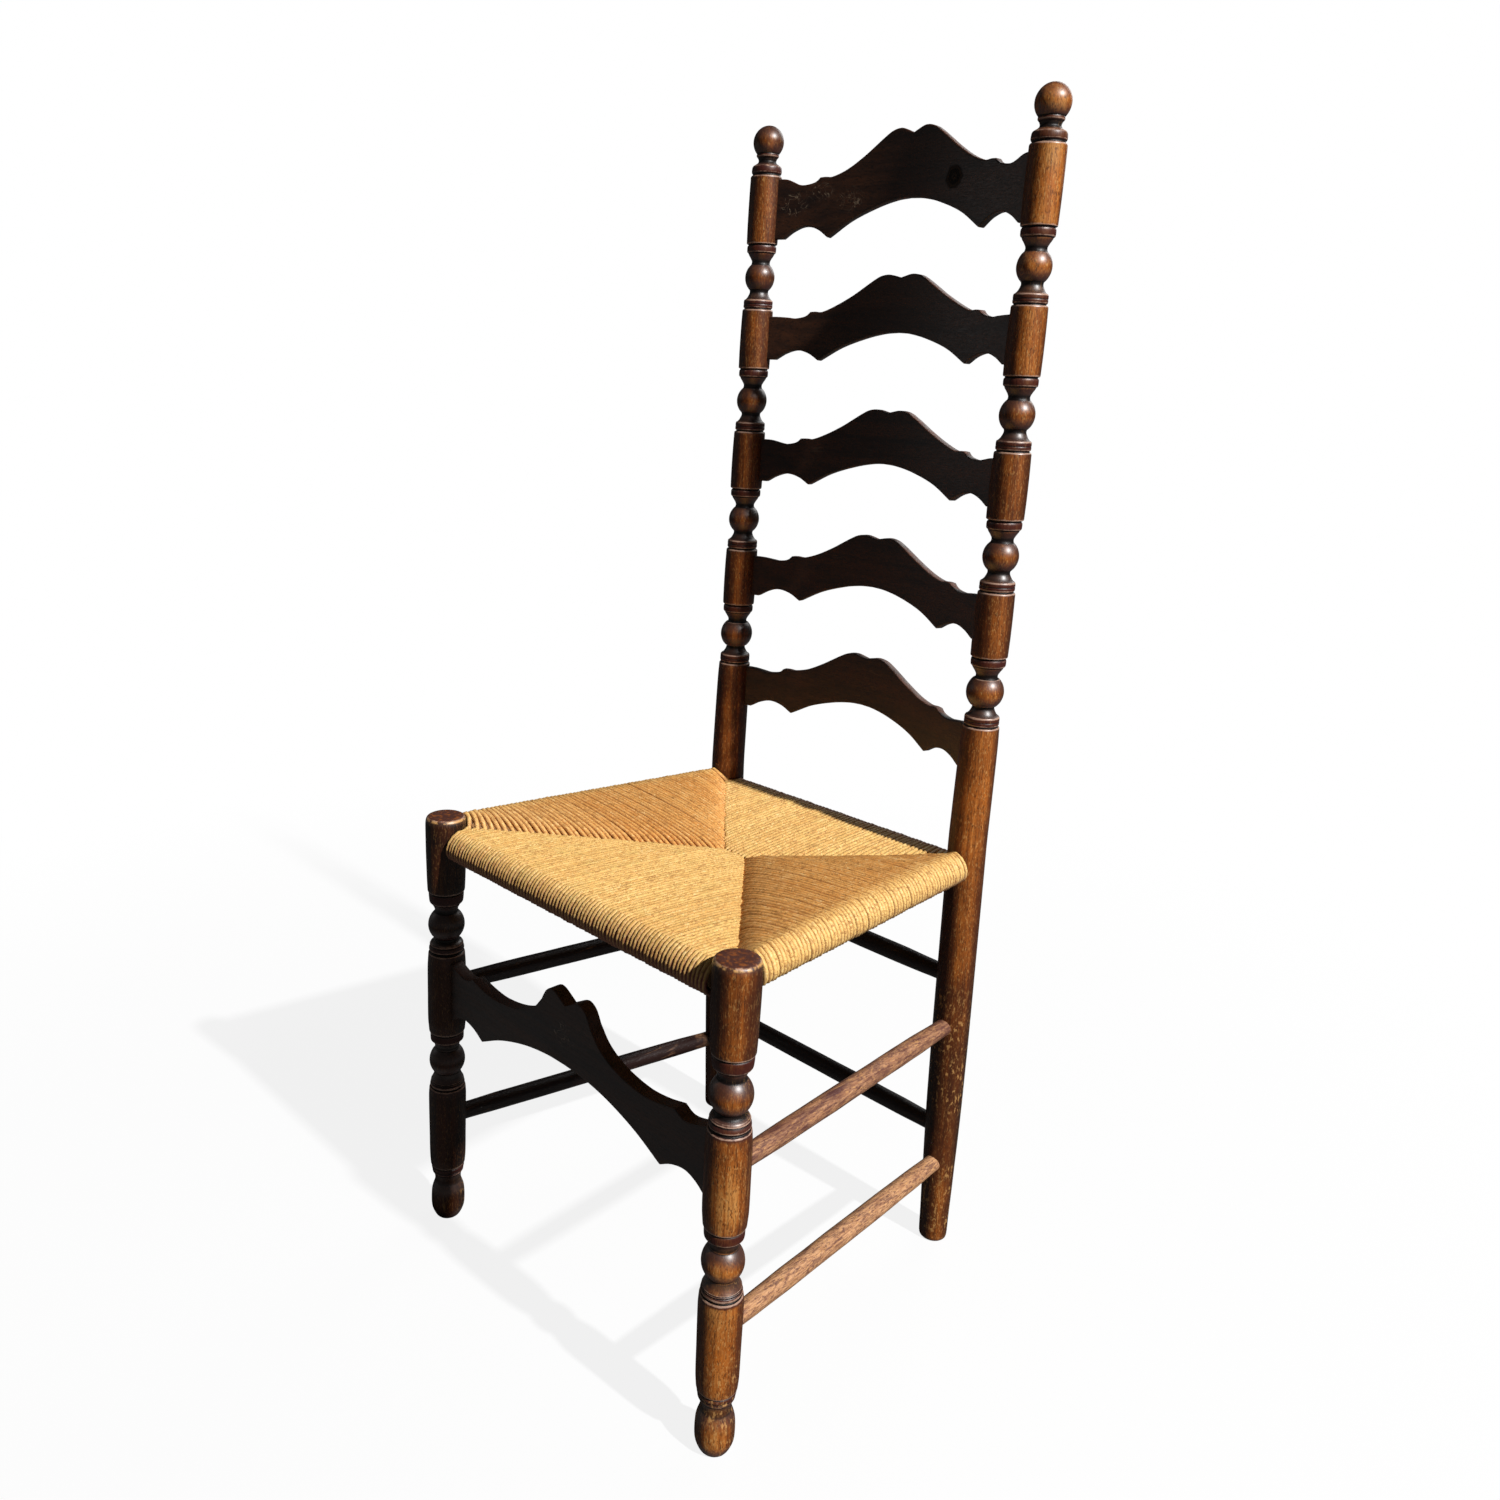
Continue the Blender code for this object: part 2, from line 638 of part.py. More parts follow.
def rush_section(centre, outward, inside):
    """Points of the rush from the dish on top, over the rail and back to the dish below."""
    roll = RAIL_RADIUS + RUSH_WALL
    section = [Vector((inside.x, inside.y, RUSH_DISH_TOP))]
    crest = centre + Vector((0.0, 0.0, roll))
    for share in RUSH_SLOPE_SHARES:
        point = section[0].lerp(crest, share)
        point.z += RUSH_CROWN * math.sin(math.pi * share)
        section.append(point)
    for degrees in RUSH_ROLL_DEGREES:
        angle = math.radians(degrees)
        section.append(
            centre + outward * roll * math.cos(angle) + Vector((0.0, 0.0, roll * math.sin(angle))))
    below = Vector((inside.x, inside.y, RUSH_DISH_BOTTOM))
    section.append(section[-1].lerp(below, 0.5))
    section.append(below)
    return section


def add_rush(chair, cutters, uprights, tunnels, material):
    """The rush seat: a dished pad rolled over the rails and notched round the uprights."""
    sections = [rush_section(*station) for station in rush_rim()]
    build = bmesh.new()
    rings = [[build.verts.new(point) for point in section] for section in sections]
    for number, ring in enumerate(rings):
        before = rings[number - 1]
        for index in range(len(ring) - 1):
            build.faces.new((before[index], before[index + 1], ring[index + 1], ring[index]))
    bmesh.ops.remove_doubles(build, verts=build.verts[:], dist=FIT_GAP / 10)
    bmesh.ops.recalc_face_normals(build, faces=build.faces[:])
    mesh = bpy.data.meshes.new("rush_seat")
    build.to_mesh(mesh)
    build.free()
    seat = add_object("rush_seat", mesh, chair, material)
    for upright in uprights:
        cut(seat, upright)
    for tunnel in tunnels:
        cut(seat, tunnel)


def upright_cutters(cutters):
    """Plain posts, grown by the clearance, that notch the rush at its four corners."""
    low = RUSH_DISH_BOTTOM - CUT_OVERRUN - RAIL_RADIUS
    high = LEG_HEIGHT + CUT_OVERRUN
    made = []
    for label, side in SIDES:
        wide = LEG_TOP_RADIUS + FIT_GAP
        outline = [(0.0, high), (wide, high), (wide, low), (0.0, low)]
        notch = turned("front_notch_" + label, outline, TURNING_STEPS, cutters)
        notch.location = leg_line(side, 0.0)
        made.append(notch)
        wide = POST_RADIUS + FIT_GAP
        outline = [(0.0, high), (wide, high), (wide, BEND_HEIGHT), (wide, low), (0.0, low)]
        notch = turned("back_notch_" + label, outline, TURNING_STEPS, cutters)
        bend_post(settle(notch), side)
        notch.location = post_line(side, 0.0)
        made.append(notch)
    return made


def smooth_round_pieces(chair):
    """Shade the turned pieces smooth, with their rings and shoulders kept sharp."""
    for piece in chair.objects:
        piece.data.shade_smooth()
        piece.data.set_sharp_from_angle(angle=math.radians(40))


def main():
    """Build the chair."""
    chair, cutters = start_clean()
    turned_wood = finish("stained_turned_wood", (0.150, 0.062, 0.026), 0.35)
    slat_wood = finish("stained_slat_wood", (0.055, 0.026, 0.016), 0.40)
    board_wood = finish("stained_board_wood", (0.045, 0.024, 0.018), 0.42)
    rung_wood = finish("worn_rung_wood", (0.290, 0.140, 0.070), 0.50)
    rail_wood = finish("bare_rail_wood", (0.430, 0.290, 0.170), 0.70)
    rush = finish("twisted_rush", (0.640, 0.430, 0.190), 0.75)
    legs = add_legs(chair, turned_wood)
    posts = add_posts(chair, turned_wood)
    add_slats(chair, cutters, posts, slat_wood)
    add_board(chair, cutters, legs, board_wood)
    add_rungs(chair, cutters, legs, posts, rung_wood)
    tunnels = add_rails(chair, cutters, legs, posts, rail_wood)
    add_rush(chair, cutters, upright_cutters(cutters), tunnels, rush)
    smooth_round_pieces(chair)


main()
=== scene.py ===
# %% [markdown]
# # A ladder back chair with turned wood and a rush seat
#
# The imported CAD model is the fixed frame of this scene: it says where every leg, post, slat,
# rung and rail lies. The lesson builds each piece again around that frame, now with the fine
# rings, soft edges, wound cords and worn stain of an old chair. The last cell prints the box of
# the finished chair.

# %% Load the frame
import math
import random

import bmesh
import bpy
import numpy as np
from mathutils import Matrix, Vector
from mathutils.geometry import interpolate_bezier


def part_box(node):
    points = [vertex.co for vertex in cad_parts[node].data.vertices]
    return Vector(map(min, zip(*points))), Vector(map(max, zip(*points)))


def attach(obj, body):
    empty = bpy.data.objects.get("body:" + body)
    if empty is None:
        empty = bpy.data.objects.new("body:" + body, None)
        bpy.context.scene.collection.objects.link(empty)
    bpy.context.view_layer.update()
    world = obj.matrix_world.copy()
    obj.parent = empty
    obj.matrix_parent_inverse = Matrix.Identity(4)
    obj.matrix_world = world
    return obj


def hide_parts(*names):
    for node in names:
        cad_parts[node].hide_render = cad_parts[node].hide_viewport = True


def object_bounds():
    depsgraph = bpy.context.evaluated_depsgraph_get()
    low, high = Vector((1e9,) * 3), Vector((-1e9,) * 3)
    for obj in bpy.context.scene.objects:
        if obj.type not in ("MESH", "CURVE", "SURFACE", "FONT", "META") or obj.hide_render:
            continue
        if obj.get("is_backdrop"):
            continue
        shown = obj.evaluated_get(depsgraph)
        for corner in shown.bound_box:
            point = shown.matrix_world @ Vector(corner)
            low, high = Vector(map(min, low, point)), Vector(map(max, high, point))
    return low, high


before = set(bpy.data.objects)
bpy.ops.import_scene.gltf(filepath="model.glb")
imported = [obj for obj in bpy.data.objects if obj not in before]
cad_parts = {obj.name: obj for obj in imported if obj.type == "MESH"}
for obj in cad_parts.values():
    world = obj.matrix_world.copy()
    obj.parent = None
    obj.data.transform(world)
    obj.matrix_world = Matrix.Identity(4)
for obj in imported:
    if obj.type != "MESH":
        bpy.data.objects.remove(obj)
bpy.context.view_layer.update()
MM = 0.001

# %% [markdown]
# ## The camera
#
# The photograph was taken close to the chair, from its front right corner and a little above
# the seat, with the camera tipped by some two degrees. The place, the turn and the focal length
# were found from the corners of the seat and the balls of the posts. They are plain numbers
# here, because a lens is described by numbers and not by a shape.

# %% Camera
PHOTO_SIDE = 1500
LENS_AXIS = (700, 665)
FOCAL_PIXELS = 1249.9
SENSOR = 36.0
CAMERA_PLACE = Vector((0.82702, -0.86829, 0.90065))
AZIMUTH, PITCH, ROLL = (math.radians(angle) for angle in (45.471, 12.824, 2.312))

ahead = Vector((
    -math.sin(AZIMUTH) * math.cos(PITCH), math.cos(AZIMUTH) * math.cos(PITCH), -math.sin(PITCH)))
level = Vector((math.cos(AZIMUTH), math.sin(AZIMUTH), 0.0))
upward = level.cross(ahead)
camera_right = level * math.cos(ROLL) + upward * math.sin(ROLL)
camera_up = upward * math.cos(ROLL) - level * math.sin(ROLL)

bpy.ops.object.camera_add(location=CAMERA_PLACE)
camera = bpy.context.object
camera.rotation_euler = Matrix((camera_right, camera_up, -ahead)).transposed().to_euler()
camera.data.sensor_width = SENSOR
camera.data.lens = FOCAL_PIXELS / PHOTO_SIDE * SENSOR
camera.data.shift_x = (PHOTO_SIDE / 2 - LENS_AXIS[0]) / PHOTO_SIDE
camera.data.shift_y = (LENS_AXIS[1] - PHOTO_SIDE / 2) / PHOTO_SIDE
camera.data.dof.use_dof = False
bpy.context.scene.camera = camera
print("camera lens", round(camera.data.lens, 2), "mm")

# %% [markdown]
# ## Small helpers
#
# An operator acts on everything that is selected, and the frame's nodes are selected after
# loading. So each piece starts from an empty selection. Every mesh is closed in the same way,
# and every piece is handed to the frame in the same way, so both are written once.

# %% Helpers for pieces
def pick(*chosen):
    """Select these pieces and nothing else."""
    bpy.ops.object.select_all(action="DESELECT")
    for piece in chosen:
        piece.select_set(True)
        bpy.context.view_layer.objects.active = piece


def newest(name):
    """The piece that the last operator made, with its name."""
    piece = bpy.context.object
    piece.name = piece.data.name = name
    return piece


def copy_of(original, name):
    """A copy with its own mesh."""
    piece = original.copy()
    piece.data = original.data.copy()
    piece.name = piece.data.name = name
    bpy.context.scene.collection.objects.link(piece)
    return piece


def close_mesh(merge=0.0):
    """In edit mode: merge doubles, turn all faces outwards, and go back to object mode."""
    bpy.ops.mesh.select_all(action="SELECT")
    if merge:
        bpy.ops.mesh.remove_doubles(threshold=merge)
    bpy.ops.mesh.normals_make_consistent(inside=False)
    bpy.ops.object.mode_set(mode="OBJECT")


def smooth(degrees):
    """Shade the piece round, apart from edges that are sharper than this."""
    bpy.ops.object.shade_smooth_by_angle(angle=math.radians(degrees))


def modify(piece, name, kind, **settings):
    """Add a modifier with these settings, and apply it at once."""
    modifier = piece.modifiers.new(name, kind)
    for setting, value in settings.items():
        setattr(modifier, setting, value)
    pick(piece)
    bpy.ops.object.modifier_apply(modifier=name)


def store(piece, name, values):
    """Keep a colour or a value at each vertex, for the materials to read."""
    if values.ndim == 2:
        layer, key = piece.data.color_attributes.new(name, "FLOAT_COLOR", "POINT"), "color"
    else:
        layer, key = piece.data.attributes.new(name, "FLOAT", "POINT"), "value"
    layer.data.foreach_set(key, values.ravel())


def hand_over(piece, node):
    """The piece rides with the chair and stands in for one node of the frame."""
    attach(piece, "root")
    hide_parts(node)
    print(piece.name, "stands in for", node, "with", len(piece.data.polygons), "faces")


# %% [markdown]
# The centre lines of the uprights and rods are measured on the frame's own nodes, so that a new
# piece always lies where the CAD piece lies.

# %% Measuring helpers
SAME_HEIGHT, SAME_END = 0.2 * MM, 0.1 * MM


def node_points(node):
    """All corners of a frame node, each place once."""
    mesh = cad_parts[node].data
    flat = np.zeros(len(mesh.vertices) * 3)
    mesh.vertices.foreach_get("co", flat)
    return np.unique(flat.reshape(-1, 3).round(6), axis=0)


def level_centre(node, height):
    """Centre of the ring of corners that a turned node has at a height."""
    points = node_points(node)
    ring = points[abs(points[:, 2] - height) < SAME_HEIGHT]
    return Vector((ring.min(0) + ring.max(0)) / 2)


def rod_ends(node):
    """Centres of the two flat ends of a rung or a rail."""
    points = node_points(node)
    middle = points.mean(0)
    way = np.linalg.svd(points - middle)[2][0]
    along = (points - middle) @ way
    first = points[along < along.min() + SAME_END].mean(0)
    last = points[along > along.max() - SAME_END].mean(0)
    return Vector(first), Vector(last)


leg_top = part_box("front_leg_left")[1].z
post_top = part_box("back_post_left")[1].z
print("legs end at", round(leg_top, 4), "posts end at", round(post_top, 4))

# %% [markdown]
# ## Turned wood
#
# A turner cuts a spinning square of wood to a profile. In Blender the same is done the other
# way round: one point is drawn into a chain that follows the profile, and the chain is spun
# about the axis. A few measured points are enough, because a smooth line is drawn through
# them. Where two runs of points meet, the line stays sharp, as the tool leaves it.

# %% A smooth profile line
LONGEST_STEP = 1.5 * MM
MOST_STEPS = 6
SAME_PLACE = 0.01 * MM


def flowing(run):
    """Points of a smooth line through one run of (height, radius) points in millimetres."""
    knots = [Vector((radius * MM, 0.0, height * MM)) for height, radius in run]
    around = [knots[0], *knots, knots[-1]]
    ways = [(after - before).normalized() for before, after in zip(around, around[2:])]
    line = [knots[0]]
    for start, end, leaving, arriving in zip(knots, knots[1:], ways, ways[1:]):
        third = (end - start).length / 3
        steps = min(MOST_STEPS, math.ceil((end - start).length / LONGEST_STEP))
        line += interpolate_bezier(
            start, start + leaving * third, end - arriving * third, end, steps + 1)[1:]
    return line


def profile_line(runs):
    """One chain of points through all runs, without doubles."""
    line = []
    for run in runs:
        for point in flowing(run):
            if not line or (point - line[-1]).length > SAME_PLACE:
                line.append(point)
    return line


def ball_run(centre, radius, low_degrees, high_degrees, steps=12):
    """The arc of a ball, bottom to top."""
    angles = np.radians(np.linspace(low_degrees, high_degrees, steps + 1))
    return [(centre + radius * math.sin(a), radius * math.cos(a)) for a in angles]


def lifted(runs, height):
    """Runs that were measured from a ball's centre, moved to that ball."""
    return [[(rise + height, radius) for rise, radius in run] for run in runs]


# %% [markdown]
# Each group of a ball between two necks and two rings is written once, from its lower barrel to
# its upper barrel, with heights from the ball's centre. The posts repeat one group four times.
# The legs have two groups that differ a little, because each was turned by eye.

# %% Profiles of the ball groups
POST_BELOW = [
    [(-36.5, 18.4), (-35.2, 18.2), (-34.4, 17.4)],
    [(-34.2, 16.4), (-33.6, 16.1), (-33.0, 16.2)],
    [(-32.8, 16.9), (-32.0, 17.4), (-29.4, 17.5)],
    [(-28.8, 17.1)],
    [(-28.2, 17.5), (-25.0, 17.3), (-24.0, 16.6)],
    [(-23.8, 15.9), (-22.0, 14.0), (-20.0, 12.7), (-17.0, 11.3), (-15.2, 11.0), (-13.4, 11.5)]]
POST_ABOVE = [
    [(13.4, 11.5), (15.0, 10.9), (17.2, 10.9), (20.5, 12.6), (24.0, 15.0), (25.6, 15.6)],
    [(26.0, 16.4), (26.8, 17.1), (29.5, 17.4), (32.4, 17.3), (33.3, 16.9)],
    [(33.5, 16.5), (34.1, 16.1), (34.8, 16.4)],
    [(35.0, 17.4), (35.6, 18.2), (36.5, 18.4)]]
UPPER_BELOW = [
    [(-32.4, 19.2), (-31.0, 18.9), (-30.2, 18.2)],
    [(-30.0, 17.4), (-29.2, 16.9), (-28.2, 17.2)],
    [(-27.6, 17.9), (-26.6, 18.4), (-24.5, 18.1), (-22.6, 17.3)],
    [(-22.2, 17.0), (-21.2, 17.6), (-20.0, 17.0)],
    [(-19.2, 16.5), (-17.6, 14.2), (-16.2, 13.1), (-14.2, 12.8)]]
UPPER_ABOVE = [
    [(14.6, 12.3), (15.8, 12.0), (18.5, 12.4), (22.0, 14.2), (24.2, 15.6)],
    [(24.9, 16.7), (26.0, 17.4), (30.0, 17.9), (34.4, 18.2), (35.4, 18.0)],
    [(35.8, 17.6), (36.4, 17.3), (37.0, 17.4)],
    [(37.2, 18.2), (37.6, 19.0), (38.5, 19.3)]]
LOWER_BELOW = [
    [(-33.0, 19.5), (-31.4, 19.2), (-30.5, 18.6)],
    [(-30.3, 17.6), (-29.7, 17.2), (-29.0, 17.4)],
    [(-28.6, 18.1), (-27.2, 18.5), (-25.6, 18.0)],
    [(-25.2, 17.4), (-24.0, 17.8), (-23.0, 17.0)],
    [(-22.6, 17.5), (-20.5, 16.3), (-17.5, 14.9), (-15.0, 14.2), (-13.4, 13.9)]]
LOWER_ABOVE = [
    [(14.2, 13.2), (15.4, 12.9), (17.5, 13.1), (20.5, 14.0), (23.2, 15.6)],
    [(23.6, 16.6), (24.4, 17.4), (27.5, 17.7), (31.4, 17.7), (32.4, 17.4)],
    [(32.6, 17.2), (33.2, 17.0), (33.8, 17.2)],
    [(34.0, 17.9), (34.4, 18.7), (35.2, 19.0)]]


def ball_group(below, above, centre, radius):
    """All runs of one group round a ball."""
    bare_low = math.degrees(math.asin(below[-1][-1][0] / radius))
    bare_high = math.degrees(math.asin(above[0][0][0] / radius))
    ball = ball_run(centre, radius, bare_low, bare_high)
    return lifted(below, centre) + [ball] + lifted(above, centre)


print("runs of one post group:", len(POST_BELOW) + 1 + len(POST_ABOVE))

# %% [markdown]
# The whole profiles follow, in millimetres above the floor. A front leg stands on a ball foot,
# swells through three barrels and ends in a worn flat top. The real uprights proved a little
# slimmer than the solids when they were measured again, so a last share narrows each profile.

# %% Whole profile of a leg
FOOT = [
    [(0.0, 0.0), (0.0, 11.8)],
    [(0.0, 11.8), (1.2, 13.0), (3.0, 14.2), (6.0, 15.7), (10.0, 17.2), (14.0, 17.9),
     (22.0, 18.1), (30.0, 17.7), (34.0, 17.0), (38.0, 15.7), (40.5, 14.8), (42.0, 14.3),
     (45.5, 14.0), (49.5, 14.5), (52.8, 15.4)],
    [(53.2, 16.0), (54.6, 16.8), (56.0, 16.9)],
    [(56.4, 16.6), (57.2, 16.6)],
    [(57.6, 17.2), (59.5, 17.6), (61.0, 17.4)],
    [(61.4, 17.1), (61.8, 16.8), (62.4, 16.9)],
    [(62.8, 17.3), (63.2, 18.2), (64.0, 18.5), (75.0, 19.3), (100.0, 19.6), (145.0, 20.0),
     (153.6, 19.5)]]
LEG_BALLS = (186.6, 341.2)
LEG_BALL_RADIUS = 19.0
MIDDLE_BARREL = [(221.8, 19.0), (235.0, 20.0), (265.0, 20.1), (295.0, 20.0), (308.8, 19.2)]
TOP_BARREL = [
    [(379.7, 19.3), (390.0, 19.8), (420.0, 20.6), (435.0, 20.8), (450.0, 20.9), (454.0, 20.7),
     (457.2, 19.9), (458.9, 18.6), (459.7, 16.5), (460.0, 13.0)],
    [(460.0, 13.0), (460.0, 0.0)]]
LEG_SHARES = ((0.0, 0.975), (460.0, 0.985))


def slimmer(runs, shares):
    """The same runs with each radius multiplied by a share that depends on the height."""
    heights, factors = zip(*shares)
    return [[(height, radius * np.interp(height, heights, factors)) for height, radius in run]
            for run in runs]


leg_runs = slimmer(
    FOOT + ball_group(LOWER_BELOW, LOWER_ABOVE, LEG_BALLS[0], LEG_BALL_RADIUS)
    + [MIDDLE_BARREL] + ball_group(UPPER_BELOW, UPPER_ABOVE, LEG_BALLS[1], LEG_BALL_RADIUS)
    + TOP_BARREL, LEG_SHARES)
print("leg profile:", len(profile_line(leg_runs)), "points")

# %% [markdown]
# A back post is plain up to the seat. Above it come four balls between five barrels, and a
# finial that was turned from the same piece of wood.

# %% Whole profile of a post
POST_SHARES = (
    (0.0, 1.0), (150.0, 0.98), (350.0, 0.972), (620.0, 0.98), (780.0, 0.97), (900.0, 0.94),
    (1000.0, 0.92), (1110.0, 0.925), (1160.0, 0.95))
POST_BALLS = (613.4, 747.0, 880.6, 1014.2)
POST_BALL_RADII = (18.7, 17.8, 17.8, 17.7)
GROUP_HALF = 36.5
BARREL_END, BARREL_MIDDLE, BARREL_SWELL = 18.4, 18.75, 0.3
FINIAL_BALL, FINIAL_RADIUS, FINIAL_BELOW = 1155.7, 17.5, 38.0
FINIAL_DEGREES, FINIAL_STEPS = (-44, 90), 18
LOWER_POST = [
    [(0.0, 0.0), (0.0, 12.5)],
    [(0.0, 12.5), (1.5, 14.2), (6.0, 14.9), (29.0, 15.4), (58.0, 16.3), (87.0, 17.0),
     (115.0, 17.8), (160.0, 18.8), (200.0, 19.2), (250.0, 19.6), (350.0, 19.75),
     (430.0, 19.7), (500.0, 19.5), (560.0, 19.0), (576.9, 18.4)]]
FINIAL = [
    [(-38.0, 18.45), (-36.2, 18.3), (-35.2, 17.6)],
    [(-34.8, 16.6), (-34.0, 16.2), (-33.0, 16.4)],
    [(-32.6, 17.0), (-31.6, 17.5), (-29.0, 17.5), (-26.0, 17.0), (-24.8, 16.2)],
    [(-24.4, 15.6), (-23.2, 13.4), (-21.6, 11.2), (-20.0, 10.3), (-18.2, 10.5), (-16.2, 11.4)],
    [(-15.6, 12.2), (-14.6, 12.9), (-13.0, 12.9), (-12.1, 12.6)]]

post_runs = list(LOWER_POST)
barrel_tops = [ball - GROUP_HALF for ball in POST_BALLS[1:]] + [FINIAL_BALL - FINIAL_BELOW]
for centre, radius, high in zip(POST_BALLS, POST_BALL_RADII, barrel_tops):
    post_runs += ball_group(POST_BELOW, POST_ABOVE, centre, radius)
    low = centre + GROUP_HALF
    post_runs.append([
        (low, BARREL_END), (low * (1 - BARREL_SWELL) + high * BARREL_SWELL, BARREL_MIDDLE),
        (low * BARREL_SWELL + high * (1 - BARREL_SWELL), BARREL_MIDDLE), (high, BARREL_END)])
post_runs += lifted(FINIAL, FINIAL_BALL)
post_runs.append(ball_run(FINIAL_BALL, FINIAL_RADIUS, *FINIAL_DEGREES, FINIAL_STEPS))
post_runs = slimmer(post_runs, POST_SHARES)
print("post profile:", len(profile_line(post_runs)), "points")

# %% [markdown]
# ## The stain follows the profile
#
# On the real chair a rim stands out and is rubbed bare, and a groove lies behind and keeps soot
# and wax. So the profile is measured against a softened copy of itself. Rims, grooves and the
# bands of rings, which were coloured darker, are stored as the red, green and blue of a colour
# attribute named `finish`, and the wide hollows of the necks as an attribute named `cove`. The
# materials read them later.

# %% Measure a profile for its stain
SAMPLE = 0.25 * MM
RIM_REACH, COVE_REACH = 1.2 * MM, 3.2 * MM
RIM_FULL, GROOVE_FULL, COVE_FULL = 0.30 * MM, 0.26 * MM, 0.42 * MM
BAND_SOFTNESS = 0.6 * MM


def blurred(values, reach):
    """A row of values, softened over a reach given in samples."""
    spread = np.arange(-3 * reach, 3 * reach + 1)
    weight = np.exp(-0.5 * (spread / reach) ** 2)
    padded = np.pad(values, 3 * reach, mode="edge")
    return np.convolve(padded, weight / weight.sum(), mode="valid")


def standing_out(knots, reach):
    """How far each knot of a profile stands out from the softened profile."""
    steps = np.linalg.norm(np.diff(knots, axis=0), axis=1)
    length = np.concatenate([[0.0], np.cumsum(steps)])
    even = np.arange(0.0, length[-1], SAMPLE)
    radius, height = (np.interp(even, length, knots[:, axis]) for axis in (0, 1))
    outward = np.stack([np.gradient(height), -np.gradient(radius)])
    outward /= np.linalg.norm(outward, axis=0)
    samples = round(reach / SAMPLE)
    shift = np.stack([radius - blurred(radius, samples), height - blurred(height, samples)])
    return np.interp(length, even, (shift * outward).sum(0))


def store_finish(piece, line, bands):
    """Rims red, grooves green, ring bands blue, and wide hollows as `cove`."""
    knots = np.array([(point.x, point.z) for point in line])
    fine, wide = standing_out(knots, RIM_REACH), standing_out(knots, COVE_REACH)
    banded = np.zeros(len(knots))
    for low, high in bands:
        inside = np.minimum(knots[:, 1] - low * MM, high * MM - knots[:, 1])
        banded = np.maximum(banded, np.clip(inside / BAND_SOFTNESS + 0.5, 0, 1))
    places = np.array([(math.hypot(v.co.x, v.co.y), v.co.z) for v in piece.data.vertices])
    nearest = abs(places[:, None] - knots[None]).sum(2).argmin(1)
    finish = np.stack([np.clip(fine / RIM_FULL, 0, 1), np.clip(-fine / GROOVE_FULL, 0, 1),
                       banded, np.ones(len(knots))], axis=1)
    store(piece, "finish", finish[nearest])
    store(piece, "cove", np.clip(-wide / COVE_FULL, 0, 1)[nearest])


# %% [markdown]
# The chain is drawn by extruding one vertex again and again, and `spin` turns it right round.
# The doubles at the seam and on the axis are merged before the normals are made outward.

# %% Spin a turned piece
TURN_STEPS = 48
TURNED_EDGE = 38
TURNED_MERGE = 0.005 * MM
# lower and upper end of every band of rings, in millimetres above the floor
LEG_BANDS = [(53.0, 63.0)] + [
    (centre + low, centre + high) for centre, pairs in zip(
        LEG_BALLS, (((-33.2, -22.8), (23.4, 34.0)), ((-32.6, -19.4), (24.6, 37.2))))
    for low, high in pairs]
POST_BANDS = [
    (centre + low, centre + high) for centre in POST_BALLS
    for low, high in ((-35.0, -23.8), (25.8, 35.0))]
POST_BANDS += [(FINIAL_BALL - 36.0, FINIAL_BALL - 24.6), (FINIAL_BALL - 15.8, FINIAL_BALL - 12.0)]


def turn(name, runs, bands=(), steps=TURN_STEPS):
    """Draw a profile as a chain of vertices on the Z axis and spin it."""
    line = profile_line(runs)
    pick()
    bpy.ops.mesh.primitive_plane_add(size=10 * MM)
    piece = newest(name)
    bpy.ops.object.mode_set(mode="EDIT")
    bpy.ops.mesh.merge(type="CENTER")
    bpy.ops.transform.translate(value=line[0])
    for here, there in zip(line, line[1:]):
        bpy.ops.mesh.extrude_region_move(TRANSFORM_OT_translate={"value": there - here})
    bpy.ops.mesh.select_all(action="SELECT")
    bpy.ops.mesh.spin(steps=steps, angle=2 * math.pi, center=(0, 0, 0), axis=(0, 0, 1))
    close_mesh(TURNED_MERGE)
    smooth(TURNED_EDGE)
    store_finish(piece, line, bands)
    print(name, len(piece.data.polygons), "faces")
    return piece


turned_leg = turn("turned_leg_left", leg_runs, LEG_BANDS)
turned_post = turn("turned_post_left", post_runs, POST_BANDS)

# %% [markdown]
# ## Legs and posts in their places
#
# One leg and one post are enough: a copy with its own mesh stands on the other side. The
# posts lean back above the seat and their feet kick back below it. Blender's shear operator
# needs a window, so each ring is moved level to the frame's own centre line, which keeps the
# feet flat on the floor. The right pieces are turned by half a turn about their axis first, so
# that their grain is not a twin of the left ones.

# %% Stand the uprights
def centre_line(node, heights):
    """Centres of a frame upright at the given heights, as a function of any height."""
    centres = [level_centre(node, height) for height in heights]

    def at(height):
        return tuple(np.interp(height, heights, [c[axis] for c in centres]) for axis in (0, 1))

    return at


def stand(piece, node, heights):
    """Move each ring of an upright to the frame's centre line."""
    at = centre_line(node, heights)
    for vertex in piece.data.vertices:
        x, y = at(vertex.co.z)
        vertex.co.x += x
        vertex.co.y += y
    hand_over(piece, node)


def twin(piece, name):
    """A copy that is turned half round its own axis."""
    made = copy_of(piece, name)
    made.data.transform(Matrix.Rotation(math.pi, 4, "Z"))
    return made


POST_BENDS = (0.0, leg_top, post_top)
turned_leg_right = twin(turned_leg, "turned_leg_right")
turned_post_right = twin(turned_post, "turned_post_right")
stand(turned_leg, "front_leg_left", (0.0, leg_top))
stand(turned_leg_right, "front_leg_right", (0.0, leg_top))
stand(turned_post, "back_post_left", POST_BENDS)
stand(turned_post_right, "back_post_right", POST_BENDS)

